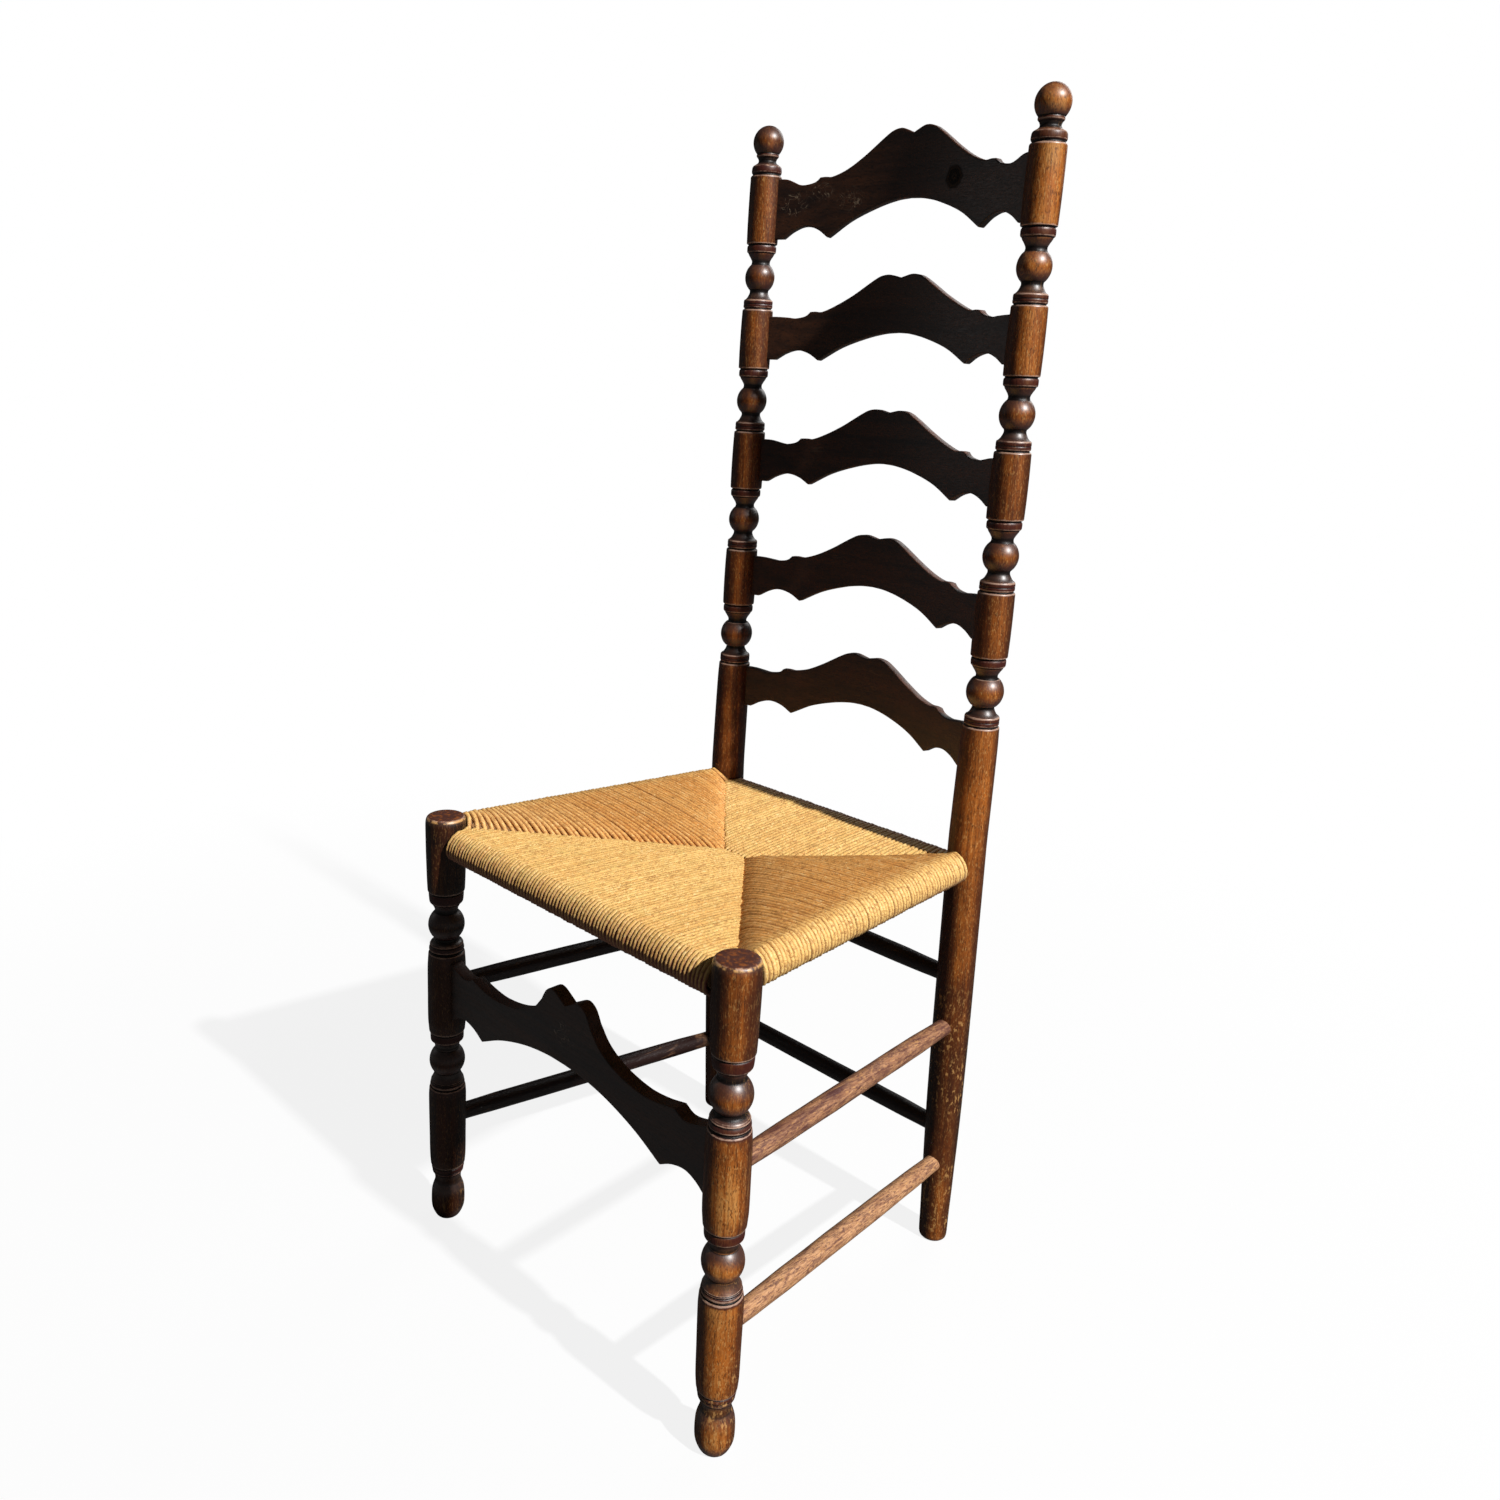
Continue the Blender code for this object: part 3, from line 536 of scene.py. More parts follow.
# %% [markdown]
# ## Slats and front board
#
# Each slat is a thin board, sawn to an outline with a notched middle, and steamed to a bow.
# It starts as a grid that stands upright. Every column of the grid is a station along the
# slat: it is selected by its vertices, stretched to the outline's height there, and moved
# to its place on the bow. Solidify then gives the board its thickness, and Bevel breaks
# its edges as a scraper would.
#
# Half of an outline is written as heights in millimetres and as shares of the half length.
# Where a run ends, the saw turned sharply.

# %% Outline helpers
ROW_SHARES = (0.0, 0.035, 0.10, 0.25, 0.42, 0.60, 0.77, 0.90, 0.965, 1.0)
STATION_STEP = 3.2 * MM


def drawn_along(half, runs):
    """Outline runs with their places along the board in millimetres."""
    return [[(height, half * share) for height, share in run] for run in runs]


def outline_points(runs):
    """Places along an outline, from its middle to its end, and its heights, in metres."""
    line = profile_line([[(along, rise) for rise, along in run] for run in runs])
    return np.array([p.z for p in line]), np.array([p.x for p in line])


def stations(runs):
    """Places for the grid's columns: every corner of the outline, and even steps between."""
    corners = sorted({run[end][1] for run in runs for end in (0, -1)})
    places = []
    for start, end in zip(corners, corners[1:]):
        steps = max(1, math.ceil((end - start) * MM / STATION_STEP))
        places += [(start + (end - start) * step / steps) * MM for step in range(steps)]
    places.append(corners[-1] * MM)
    return [-place for place in reversed(places[1:])] + places


def select_only(build, chosen):
    """Select these vertices of the mesh in edit mode."""
    for vertex in build.verts:
        vertex.select = vertex.index in chosen
    build.select_flush_mode()


# %% [markdown]
# The board is shaped column by column with the transform operators, in edit mode. The
# colour attribute `finish` is stored here too. Red is the upper edge and green the lower
# edge, so that the stain can fade where hands and cloth have rubbed it.

# %% Shape a board from a grid
EDGE_REACH = 2.6 * MM
BOARD_EDGE, BEVEL_EDGE = 42, 50


def shape_board(name, outlines, base, place, thickness, edge_round):
    """A standing board between two outlines; place(x, height) gives its middle surface."""
    (top_x, top_z), (bottom_x, bottom_z) = map(outline_points, outlines)
    columns = stations(outlines[0] + outlines[1])
    last_column, last_row = len(columns) - 1, len(ROW_SHARES) - 1
    pick()
    bpy.ops.mesh.primitive_grid_add(
        x_subdivisions=last_column, y_subdivisions=last_row, size=1.0,
        rotation=(math.pi / 2, 0.0, 0.0))
    piece = newest(name)
    bpy.ops.object.transform_apply(rotation=True)
    bpy.ops.object.mode_set(mode="EDIT")
    bpy.ops.mesh.select_mode(type="VERT")
    build = bmesh.from_edit_mesh(piece.data)
    column_of = {v.index: round((v.co.x + 0.5) * last_column) for v in build.verts}
    row_of = {v.index: round((v.co.z + 0.5) * last_row) for v in build.verts}
    for row, share in enumerate(ROW_SHARES):
        select_only(build, {index for index, number in row_of.items() if number == row})
        now = row / last_row - 0.5
        bpy.ops.transform.translate(value=(0.0, 0.0, share - 0.5 - now))
    for column, x in enumerate(columns):
        select_only(build, {index for index, number in column_of.items() if number == column})
        top, bottom = np.interp(abs(x), top_x, top_z), np.interp(abs(x), bottom_x, bottom_z)
        now = column / last_column - 0.5
        bpy.ops.transform.resize(
            value=(1.0, 1.0, top - bottom), center_override=(now, 0.0, 0.0))
        bpy.ops.transform.translate(value=(x - now, 0.0, base + (top + bottom) / 2))
    bpy.ops.object.mode_set(mode="OBJECT")
    finish = np.ones((len(piece.data.vertices), 4))
    for vertex in piece.data.vertices:
        along, tall = abs(vertex.co.x), vertex.co.z - base
        finish[vertex.index, :2] = (
            math.exp(-(np.interp(along, top_x, top_z) - tall) / EDGE_REACH),
            math.exp(-(tall - np.interp(along, bottom_x, bottom_z)) / EDGE_REACH))
        vertex.co.y = place(vertex.co.x, vertex.co.z)
    store(piece, "finish", finish)
    modify(piece, "Thickness", "SOLIDIFY", thickness=thickness, offset=0.0, use_even_offset=True)
    modify(piece, "Broken edges", "BEVEL", width=edge_round, segments=3, limit_method="ANGLE",
           angle_limit=math.radians(BEVEL_EDGE))
    smooth(BOARD_EDGE)
    return piece


# %% [markdown]
# The five slats share one outline and differ in height: the top one is the tallest. Their
# bow is a shallow curve towards the back, and the whole slat leans back with the posts.

# %% The five slats
SLATS = {  # full height, height at the end, height of the bump, depth of the notch
    "slat_5": (83.5, 45.5, 50.0, 3.0), "slat_4": (83.5, 44.5, 49.5, 3.0),
    "slat_3": (86.0, 46.5, 50.0, 3.0), "slat_2": (89.0, 46.0, 51.5, 3.5),
    "slat_1": (104.0, 61.5, 62.0, 6.0)}
SLAT_DIP = 7.0
SLAT_BOW = 31.5 * MM
SLAT_THICKNESS, SLAT_ROUND = 8.5 * MM, 1.3 * MM
SLAT_INSET = 6.0 * MM
back_at = centre_line("back_post_right", POST_BENDS)


def slat_runs(half, full, end, bump, notch):
    """Upper and lower outline of half a slat, as (height, place along) in millimetres."""
    top = [
        [(full - notch, 0.0), (full - notch * 0.55, 0.035), (full, 0.09), (full * 0.985, 0.15),
         (full * 0.935, 0.205), (full * 0.85, 0.28), (full * 0.77, 0.35), (full * 0.655, 0.47),
         (bump, 0.573), (bump + 0.4, 0.62), (bump, 0.655)],
        [(bump, 0.655), (bump - SLAT_DIP * 0.62, 0.685), (bump - SLAT_DIP, 0.76),
         (bump - SLAT_DIP * 0.9, 0.80), (end, 0.885), (end, 1.0)]]
    bottom = [
        [(full * 0.343, 0.0), (full * 0.33, 0.10), (full * 0.275, 0.24), (full * 0.16, 0.42),
         (0.0, 0.573)],
        [(0.0, 0.573), (full * 0.085, 0.65), (full * 0.12, 0.738), (full * 0.075, 0.82),
         (0.0, 0.885)],
        [(0.0, 0.885), (0.0, 1.0)]]
    return drawn_along(half, top), drawn_along(half, bottom)


slats = []
for node, (full, end, bump, notch) in SLATS.items():
    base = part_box(node)[0].z
    post_x = back_at(base + end * MM / 2)[0]

    def on_bow(x, height, post_x=post_x):
        """Depth of the slat's middle surface."""
        return back_at(height)[1] + SLAT_BOW * (1 - (x / post_x) ** 2)

    outlines = slat_runs((post_x - SLAT_INSET) / MM, full, end, bump, notch)
    slat = shape_board("bowed_" + node, outlines, base, on_bow, SLAT_THICKNESS, SLAT_ROUND)
    hand_over(slat, node)
    slats.append(slat)

# %% [markdown]
# The board between the front legs is thicker and flat, with wide scooped shoulders beside its
# middle. It comes from the same function, with its own two outlines.

# %% The front board
BOARD_FULL, BOARD_SHOULDER = 104.0, 64.0
BOARD_THICKNESS, BOARD_ROUND = 14.0 * MM, 2.2 * MM
board_low, board_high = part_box("front_board")
leg_y = level_centre("front_leg_right", leg_top).y


def board_runs(half, full, end):
    """Upper and lower outline of half the board, as (height, place along) in millimetres."""
    top = [
        [(full - 9.5, 0.0), (full - 6.0, 0.030), (full, 0.094), (full - 4.0, 0.142),
         (full * 0.846, 0.178)],
        [(full * 0.846, 0.178), (full * 0.70, 0.246), (full * 0.59, 0.36), (full * 0.534, 0.52),
         (full * 0.55, 0.64), (62.0, 0.744)],
        [(62.0, 0.744), (57.5, 0.785), (57.0, 0.823), (60.0, 0.88), (end, 0.93)],
        [(end, 0.93), (end, 1.0)]]
    bottom = [
        [(full * 0.332, 0.0), (full * 0.32, 0.14), (full * 0.265, 0.31), (full * 0.15, 0.50),
         (0.0, 0.662)],
        [(0.0, 0.662), (full * 0.075, 0.735), (full * 0.106, 0.818), (full * 0.065, 0.885),
         (0.0, 0.932)],
        [(0.0, 0.932), (0.0, 1.0)]]
    return drawn_along(half, top), drawn_along(half, bottom)


board = shape_board(
    "shaped_front_board", board_runs(board_high.x / MM, BOARD_FULL, BOARD_SHOULDER), board_low.z,
    lambda x, height: leg_y, BOARD_THICKNESS, BOARD_ROUND)
hand_over(board, "front_board")

# %% [markdown]
# ## Rungs
#
# A rung is a plain round rod, a little thicker in its middle, whose thin ends seat in the
# uprights. One rod of one metre is turned, and each rung is a copy that is cut to its own
# length. An applied Displace modifier makes every copy uneven in its own way, as a hand
# shaved rod is.

# %% Rungs
RUNG_END, RUNG_NEAR, RUNG_MIDDLE, RUNG_CHAMFER = 8.7, 9.5, 9.75, 0.8
ROD = [
    [(0.0, 0.0), (0.0, RUNG_END - RUNG_CHAMFER)],
    [(0.0, RUNG_END - RUNG_CHAMFER), (2.0, RUNG_END), (45.0, RUNG_END), (180.0, RUNG_NEAR),
     (500.0, RUNG_MIDDLE), (820.0, RUNG_NEAR), (955.0, RUNG_END), (998.0, RUNG_END),
     (1000.0, RUNG_END - RUNG_CHAMFER)],
    [(1000.0, RUNG_END - RUNG_CHAMFER), (1000.0, 0.0)]]
RUNGS = ("side_rung_upper_left", "side_rung_upper_right", "side_rung_lower_left",
         "side_rung_lower_right", "back_rung_upper", "back_rung_lower")
ROD_STEPS = 28
SHAVING_SCALE, SHAVING_DEPTH = 0.055, 0.9 * MM

rod = turn("rod", ROD, steps=ROD_STEPS)
unevenness = bpy.data.textures.new("shaved_by_hand", "CLOUDS")
unevenness.noise_scale = SHAVING_SCALE
rungs = {}
for node in RUNGS:
    start, end = rod_ends(node)
    rung = rungs[node] = copy_of(rod, node.replace("rung", "rod"))
    rung.scale = (1.0, 1.0, (end - start).length)
    rung.rotation_mode = "QUATERNION"
    rung.rotation_quaternion = (end - start).to_track_quat("Z", "Y")
    rung.location = start
    pick(rung)
    bpy.ops.object.transform_apply(location=True, rotation=True, scale=True)
    modify(rung, "Shaved", "DISPLACE", texture=unevenness, texture_coords="LOCAL",
           strength=SHAVING_DEPTH, mid_level=0.5)
    hand_over(rung, node)
bpy.data.objects.remove(rod)

# %% [markdown]
# ## The rush seat
#
# A rush seat is wound from twisted cord. Each turn goes over a rail, back to the middle
# underneath, and over the next rail, so that four triangles form, which meet in seams running
# from the corners to the middle. The turns of the side triangles dive under those of the
# front and the back.
#
# Every turn is a real cord here, a curve with a round bevel, so that the seat has the ridges and
# shadows of a wound one. A few rules place them all: the rail that a turn rolls over, the
# seam where it dives, and the height of the seam, which sinks towards the middle.

# %% Seat measures
CORD_RADIUS = 2.4 * MM
CORD_BEVEL = 2
CORD_ENDS = 0.004
CORD_MERGE = 0.03 * MM
WRAP_RADIUS = 12.75 * MM
TWIST_PITCH = 20.0 * MM
UNDERSIDE = 414.4 * MM

front_left = rod_ends("seat_rail_front")[0]
back_left, back_right = rod_ends("seat_rail_back")
side_front, side_back = sorted(rod_ends("seat_rail_right"), key=lambda end: end.y)
front_rail = Vector((0.0, leg_y, front_left.z))
back_rail = Vector((0.0, (back_left.y + back_right.y) / 2, back_left.z))
SEAM_FRONT = Vector((192.0 * MM, leg_y + 15.0 * MM, 447.0 * MM))
SEAM_BACK = Vector((155.0 * MM, leg_y + 352.0 * MM, 439.0 * MM))
SEAM_MIDDLE = Vector((14.0 * MM, leg_y + 210.0 * MM, 431.3 * MM))
print("front rail", [round(v, 4) for v in front_rail], "side rail", round(side_front.z, 4))


def within(share):
    """A share, kept between nothing and all."""
    return min(max(share, 0.0), 1.0)


def seam_by_x(corner, x):
    """Where the seam from a corner to the middle has this distance from the middle line."""
    return corner.lerp(SEAM_MIDDLE, within((corner.x - abs(x)) / (corner.x - SEAM_MIDDLE.x)))


def seam_by_y(y):
    """Where the right seams are this far back."""
    corner = SEAM_FRONT if y < SEAM_MIDDLE.y else SEAM_BACK
    return corner.lerp(SEAM_MIDDLE, within((y - corner.y) / (SEAM_MIDDLE.y - corner.y)))


def side_rail_at(y):
    """The point of the right rail's axis that is this far back."""
    return side_front.lerp(side_back, (y - side_front.y) / (side_back.y - side_front.y))


def crossing_height(share, crest, seam_height, bend):
    """Height of a cord's middle on its way from the crest of the rail to the seam."""
    straight, power = bend
    return crest - (crest - seam_height) * (straight * share + (1 - straight) * share ** power)


# %% [markdown]
# One turn of cord starts hidden in the pad, comes up at the seam, crosses to the rail,
# rolls over it with a slight droop, and goes back underneath. Its curve is nearly flat near the
# rail and steepens towards the seam, as the photograph shows, and beside an upright it bends
# round the wood. Small seeded changes in thickness, path and end keep the turns from looking
# machine made.

# %% One turn of cord
TOP_SHARES = (0.985, 0.965, 0.93, 0.88, 0.80, 0.68, 0.52, 0.36, 0.18, 0.07)
ROLL_DEGREES = (90, 62, 36, 12, -12, -36, -62, -88)
UNDER_SHARES = (0.15, 0.45, 0.75, 0.97)
DROOP, ROLL_SHARE = 4.0 * MM, 0.95
DIVE_REACH = 22.0 * MM
SWAY_KNOTS = (0.0, 0.33, 0.67, 1.0)
THICKNESS_SPAN, LIFT_MOST, RUN_MOST = (0.93, 1.07), 0.35, 1.0
# each winding: its bend, how deep it dives at the seam, how much it is squeezed there, its sway
FRONT_WINDING = (0.62, 2.0), 0.8 * MM, 0.06, 0.5 * MM
SIDE_WINDING = (0.42, 2.8), 4.2 * MM, 0.13, 0.7 * MM
wander = random.Random(11)


def cord_turn(rail, inward, run, seam_height, winding, lean):
    """Points and relative radii of one turn; lean is its bend round the nearest upright."""
    bend, depth, squeeze, waver = winding
    crest = rail.z + WRAP_RADIUS
    side = Vector((inward.y, -inward.x, 0.0))
    thickness = wander.uniform(*THICKNESS_SPAN)
    sway = [wander.uniform(-waver, waver) for _ in SWAY_KNOTS]
    lift = [wander.uniform(-LIFT_MOST, LIFT_MOST) * MM for _ in SWAY_KNOTS]
    run += wander.uniform(-RUN_MOST, RUN_MOST) * MM
    points, radii = [], []

    def lay(along, height, share, radius=1.0, bent=0.0):
        off, up = np.interp(share, SWAY_KNOTS, sway), np.interp(share, SWAY_KNOTS, lift)
        flat = Vector((rail.x, rail.y, 0.0)) + inward * along + side * off + lean * bent
        points.append(Vector((flat.x, flat.y, height + up)))
        radii.append(radius * thickness)

    lay(run, UNDERSIDE + 8 * MM, 0.0, CORD_ENDS, 1.0)
    lay(run - 0.3 * MM, seam_height - depth - 2.0 * MM, 0.02, 0.8, 1.0)
    for share in TOP_SHARES:
        near = max(0.0, 1.0 - run * (1 - share) / DIVE_REACH) ** 2
        height = crossing_height(share, crest, seam_height, bend) - depth * near
        lay(run * share, height, 0.05 + 0.4 * (1 - share), 1.0 - squeeze * near, share ** 2)
    for degrees in ROLL_DEGREES:
        angle = math.radians(degrees)
        rise = WRAP_RADIUS * math.sin(angle) - DROOP * math.cos(angle)
        lay(-WRAP_RADIUS * math.cos(angle), rail.z + rise, 0.55 + 0.2 * (90 - degrees) / 180,
            ROLL_SHARE)
    for share in UNDER_SHARES:
        low = rail.z - WRAP_RADIUS
        lay(run * share, low + (UNDERSIDE - low) * share, 0.75 + 0.25 * share)
    lay(run, UNDERSIDE + 5 * MM, 1.0, CORD_ENDS)
    return points, radii


# %% [markdown]
# All turns of one triangle become one mesh. Its UV map runs along each cord in units of one
# twist, and a value named `tone` is drawn for every turn, because no two leaves are alike.

# %% Wind one triangle of the seat
def wind(name, turns):
    """Make all turns of one triangle one mesh, with its own UV map and tones."""
    curve = bpy.data.curves.new(name, "CURVE")
    curve.dimensions = "3D"
    curve.bevel_depth = CORD_RADIUS
    curve.bevel_resolution = CORD_BEVEL
    for points, radii in turns:
        spline = curve.splines.new("POLY")
        spline.points.add(len(points) - 1)
        spline.points.foreach_set("co", [v for p in points for v in (*p, 1.0)])
        spline.points.foreach_set("radius", radii)
    piece = bpy.data.objects.new(name, curve)
    bpy.context.scene.collection.objects.link(piece)
    pick(piece)
    bpy.ops.object.convert(target="MESH")
    piece = bpy.context.object
    mesh = piece.data
    uv = np.zeros(len(mesh.loops) * 2)
    mesh.uv_layers[0].data.foreach_get("uv", uv)
    uv = uv.reshape(len(turns), -1, 2)
    tones = np.zeros((len(turns), len(mesh.vertices) // len(turns)))
    for number, (points, radii) in enumerate(turns):
        length = sum((b - a).length for a, b in zip(points, points[1:]))
        uv[number, :, 0] = uv[number, :, 0] * length / TWIST_PITCH + wander.random()
        tones[number] = wander.random()
    mesh.uv_layers[0].data.foreach_set("uv", uv.ravel())
    store(piece, "tone", tones.ravel())
    bpy.ops.object.mode_set(mode="EDIT")
    close_mesh(CORD_MERGE)
    bpy.ops.object.shade_smooth()
    hand_over(piece, "rush_seat")
    return piece


# %% [markdown]
# The front triangle is the widest, and its turns lie close. The turns start beside the legs
# and posts, a cord's radius clear of the wood. The outermost ones bend outwards once they are
# past it, and the lean says how far.

# %% The four triangles
FRONT_REACH, FRONT_PITCH = 184.5 * MM, 4.45 * MM
BACK_REACH, BACK_PITCH = 148.0 * MM, 4.9 * MM
SIDE_LOW, SIDE_HIGH, SIDE_PITCH = leg_y + 23.0 * MM, leg_y + 348.0 * MM, 4.85 * MM
SIDE_OVERLAP = 2.0 * MM
END_GAP = 0.3 * MM
LEAN_MOST, LEAN_REACH = 8.0 * MM, 22.0 * MM


def spread(low, high, pitch):
    """Even places about a pitch apart; the first and the last stand a little off."""
    inner_low, inner_high = low + pitch + END_GAP, high - pitch - END_GAP
    inner = np.linspace(inner_low, inner_high, round((inner_high - inner_low) / pitch) + 1)
    return [low, *inner, high]


def lean_at(place, low, high):
    """How far a turn at this place bends towards the upright at its end of the rail."""
    near_high, near_low = (math.exp(gap / LEAN_REACH) for gap in (place - high, low - place))
    return LEAN_MOST * (near_high - near_low)


wound = {name: [] for name in ("rush_front", "rush_back", "rush_left", "rush_right")}
for name, reach, pitch, line, corner, inward in (
        ("rush_front", FRONT_REACH, FRONT_PITCH, front_rail, SEAM_FRONT, 1),
        ("rush_back", BACK_REACH, BACK_PITCH, back_rail, SEAM_BACK, -1)):
    for x in spread(-reach, reach, pitch):
        lean = lean_at(x, -reach, reach)
        seam = seam_by_x(corner, x + lean)
        wound[name].append(cord_turn(
            Vector((x, line.y, line.z)), Vector((0, inward, 0)), (seam.y - line.y) * inward,
            seam.z, FRONT_WINDING, Vector((lean, 0, 0))))
for name, side in (("rush_left", -1), ("rush_right", 1)):
    for y in spread(SIDE_LOW, SIDE_HIGH, SIDE_PITCH):
        rail = side_rail_at(y)
        rail.x *= side
        lean = lean_at(y, SIDE_LOW, SIDE_HIGH)
        seam = seam_by_y(y + lean)
        wound[name].append(cord_turn(
            rail, Vector((-side, 0, 0)), abs(rail.x) - seam.x + SIDE_OVERLAP, seam.z,
            SIDE_WINDING, Vector((0, lean, 0))))
rush = {name: wind(name, turns) for name, turns in wound.items()}
print("turns:", {name: len(turns) for name, turns in wound.items()})

# %% [markdown]
# Under the cords lies the stuffing, which the gaps between the turns show as dark lines; its
# colour is straw darkened as painted shade. It is a grid between the four rails. The cells beside
# the legs and posts are deleted, the rest is extruded to a closed pad, and its two faces are then
# laid just under the middles of the cords.

# %% The stuffing under the cords
STUFFING_DEPTH = 1.9 * MM
STUFFING_CELLS = 92
STUFFING_EDGE = 50
UPRIGHT_CLEARANCE = 27.0 * MM
PAD_START = 10.0 * MM


def pad_levels(x, y):
    """Heights of the pad's upper and lower face at a place."""
    front_seam, back_seam = seam_by_x(SEAM_FRONT, x), seam_by_x(SEAM_BACK, x)
    if front_seam.y <= y <= back_seam.y:
        rail, seam, bend = side_rail_at(y), seam_by_y(y), SIDE_WINDING[0]
        share = within((rail.x - abs(x)) / (rail.x - seam.x))
    else:
        rail, seam = (front_rail, front_seam) if y < front_seam.y else (back_rail, back_seam)
        bend = FRONT_WINDING[0]
        share = within((y - rail.y) / (seam.y - rail.y))
    above = crossing_height(share, rail.z + WRAP_RADIUS, seam.z, bend)
    below = rail.z - WRAP_RADIUS + (UNDERSIDE - rail.z + WRAP_RADIUS) * share
    return above - STUFFING_DEPTH, below + STUFFING_DEPTH


pick()
bpy.ops.mesh.primitive_grid_add(
    x_subdivisions=STUFFING_CELLS, y_subdivisions=STUFFING_CELLS, size=2.0)
stuffing = newest("rush_stuffing")
for vertex in stuffing.data.vertices:
    y = front_rail.y + (back_rail.y - front_rail.y) * (vertex.co.y + 1) / 2
    vertex.co = (vertex.co.x * side_rail_at(y).x, y, 0.0)
uprights = [level_centre(node, leg_top) for node in ("front_leg_right", "back_post_right")]
bpy.ops.object.mode_set(mode="EDIT")
bpy.ops.mesh.select_all(action="DESELECT")
bpy.ops.mesh.select_mode(type="FACE")
for face in bmesh.from_edit_mesh(stuffing.data).faces:
    middle = face.calc_center_median()
    face.select = any(
        math.hypot(abs(middle.x) - axis.x, middle.y - axis.y) < UPRIGHT_CLEARANCE
        for axis in uprights)
bpy.ops.mesh.delete(type="FACE")
bpy.ops.mesh.select_all(action="SELECT")
bpy.ops.mesh.extrude_region_move(TRANSFORM_OT_translate={"value": (0.0, 0.0, PAD_START)})
bpy.ops.mesh.select_mode(type="VERT")
bpy.ops.object.mode_set(mode="OBJECT")
for vertex in stuffing.data.vertices:
    above, below = pad_levels(vertex.co.x, vertex.co.y)
    vertex.co.z = above if vertex.co.z > PAD_START / 2 else below
bpy.ops.object.mode_set(mode="EDIT")
close_mesh()
smooth(STUFFING_EDGE)
hand_over(stuffing, "rush_seat")

# %% [markdown]
# ## Finishes
#
# Old stained wood is never one colour, so every finish here is reckoned from a few patterns.
# Sums of patterns are easiest to read as sums, so an output of a node is wrapped in a small
# class with plus, minus and times, each of which adds a Math node. The helpers always add to
# the tree that was opened last. `coats` lays one colour over the other, as a finisher does.

# %% Node helpers
class Value:
    """An output of a node, with which one can reckon as with a number."""

    def __init__(self, socket):
        self.socket = socket

    def __add__(self, other):
        return reckon("ADD", self, other)

    def __sub__(self, other):
        return reckon("SUBTRACT", self, other)

    def __rsub__(self, other):
        return reckon("SUBTRACT", other, self)

    def __mul__(self, other):
        return reckon("MULTIPLY", self, other)

    def __abs__(self):
        return reckon("ABSOLUTE", self)


def open_tree(opened):
    """Let all helpers add to this tree from now on."""
    global tree
    tree = opened


def feed(socket, value):
    """Link a value to a socket, or set the socket's own number, place or colour."""
    if isinstance(value, Value):
        tree.links.new(value.socket, socket)
    else:
        socket.default_value = (*value, 1.0) if socket.type == "RGBA" else value


def new_node(kind, inputs, **settings):
    """A shader node with its options set and its inputs fed."""
    node = tree.nodes.new("ShaderNode" + kind)
    for name, value in settings.items():
        setattr(node, name, value)
    for name, value in inputs.items():
        feed(node.inputs[name], value)
    return node


def add(kind, output, inputs=None, **settings):
    """One output of a new node."""
    return Value(new_node(kind, inputs or {}, **settings).outputs[output])


def reckon(operation, *values):
    """The result of a Math node."""
    return add("Math", "Value", dict(enumerate(values)), operation=operation)


def vector(operation, *values, output="Vector"):
    """The result of a Vector Math node."""
    return add("VectorMath", output, dict(enumerate(values)), operation=operation)


def parts(value, kind="XYZ"):
    """The three parts of a place or a colour."""
    return [Value(socket) for socket in new_node("Separate" + kind, {0: value}).outputs]


def remap(value, low, high, new_low=0.0, new_high=1.0, **settings):
    """Stretch a range of a value to another one, and cut off what lies outside."""
    return add("MapRange", "Result", {
        "Value": value, "From Min": low, "From Max": high, "To Min": new_low,
        "To Max": new_high}, **settings)


def noise(place, scale, detail, roughness=0.5, distortion=0.0):
    """A soft random pattern."""
    return add("TexNoise", "Fac", {
        "Vector": place, "Scale": scale, "Detail": detail, "Roughness": roughness,
        "Distortion": distortion})


def cloud(place, scale, low, high, new_low=0.0, new_high=1.0, detail=4.0):
    """A patchy value between two levels."""
    return remap(noise(place, scale, detail, 0.6), low, high, new_low, new_high)


def drawn_out(place, along):
    """Places squeezed along Z, so that a pattern on them is drawn out."""
    return vector("MULTIPLY", place, (1.0, 1.0, along))


def blend(share, first, second):
    """Mix two colours."""
    return add("Mix", 2, {0: share, 6: first, 7: second}, data_type="RGBA")


def coats(base, *layers):
    """Lay colours over a base one after another; each layer is a share and a colour."""
    for share, shade in layers:
        base = blend(share, base, shade)
    return base


# %% [markdown]
# ## Shared effects
#
# Several finishes share the figure of the wood, worn edges, scuffs and single marks. Each of
# these is a node group with named inputs, built once. They read Object coordinates, so the
# pattern runs through the piece as real grain does.
#
# The figure has four parts: broad streaks of darker and lighter growth, fine fibres, short dark
# pores, and short pale flecks where the stain has worn off the fibres. All four are noise that is
# stretched along the grain. The grain runs along Z inside the group, and a Mapping node in the
# material turns it for slats and rungs.

# %% Wood figure group
ORIGIN = (0.0, 0.0, 0.0)


def start_group(name, inputs, outputs):
    """Open an empty node group; gives it, its inputs as values in order, and its ends."""
    group = bpy.data.node_groups.new(name, "ShaderNodeTree")
    for label, value in inputs.items():
        kind = "NodeSocketFloat" if isinstance(value, float) else "NodeSocketVector"
        socket = group.interface.new_socket(label, in_out="INPUT", socket_type=kind)
        socket.default_value = value
    for label in outputs:
        group.interface.new_socket(label, in_out="OUTPUT", socket_type="NodeSocketFloat")
    open_tree(group)
    entry = group.nodes.new("NodeGroupInput")
    given = [Value(socket) for _, socket in zip(inputs, entry.outputs)]
    return group, given, group.nodes.new("NodeGroupOutput").inputs


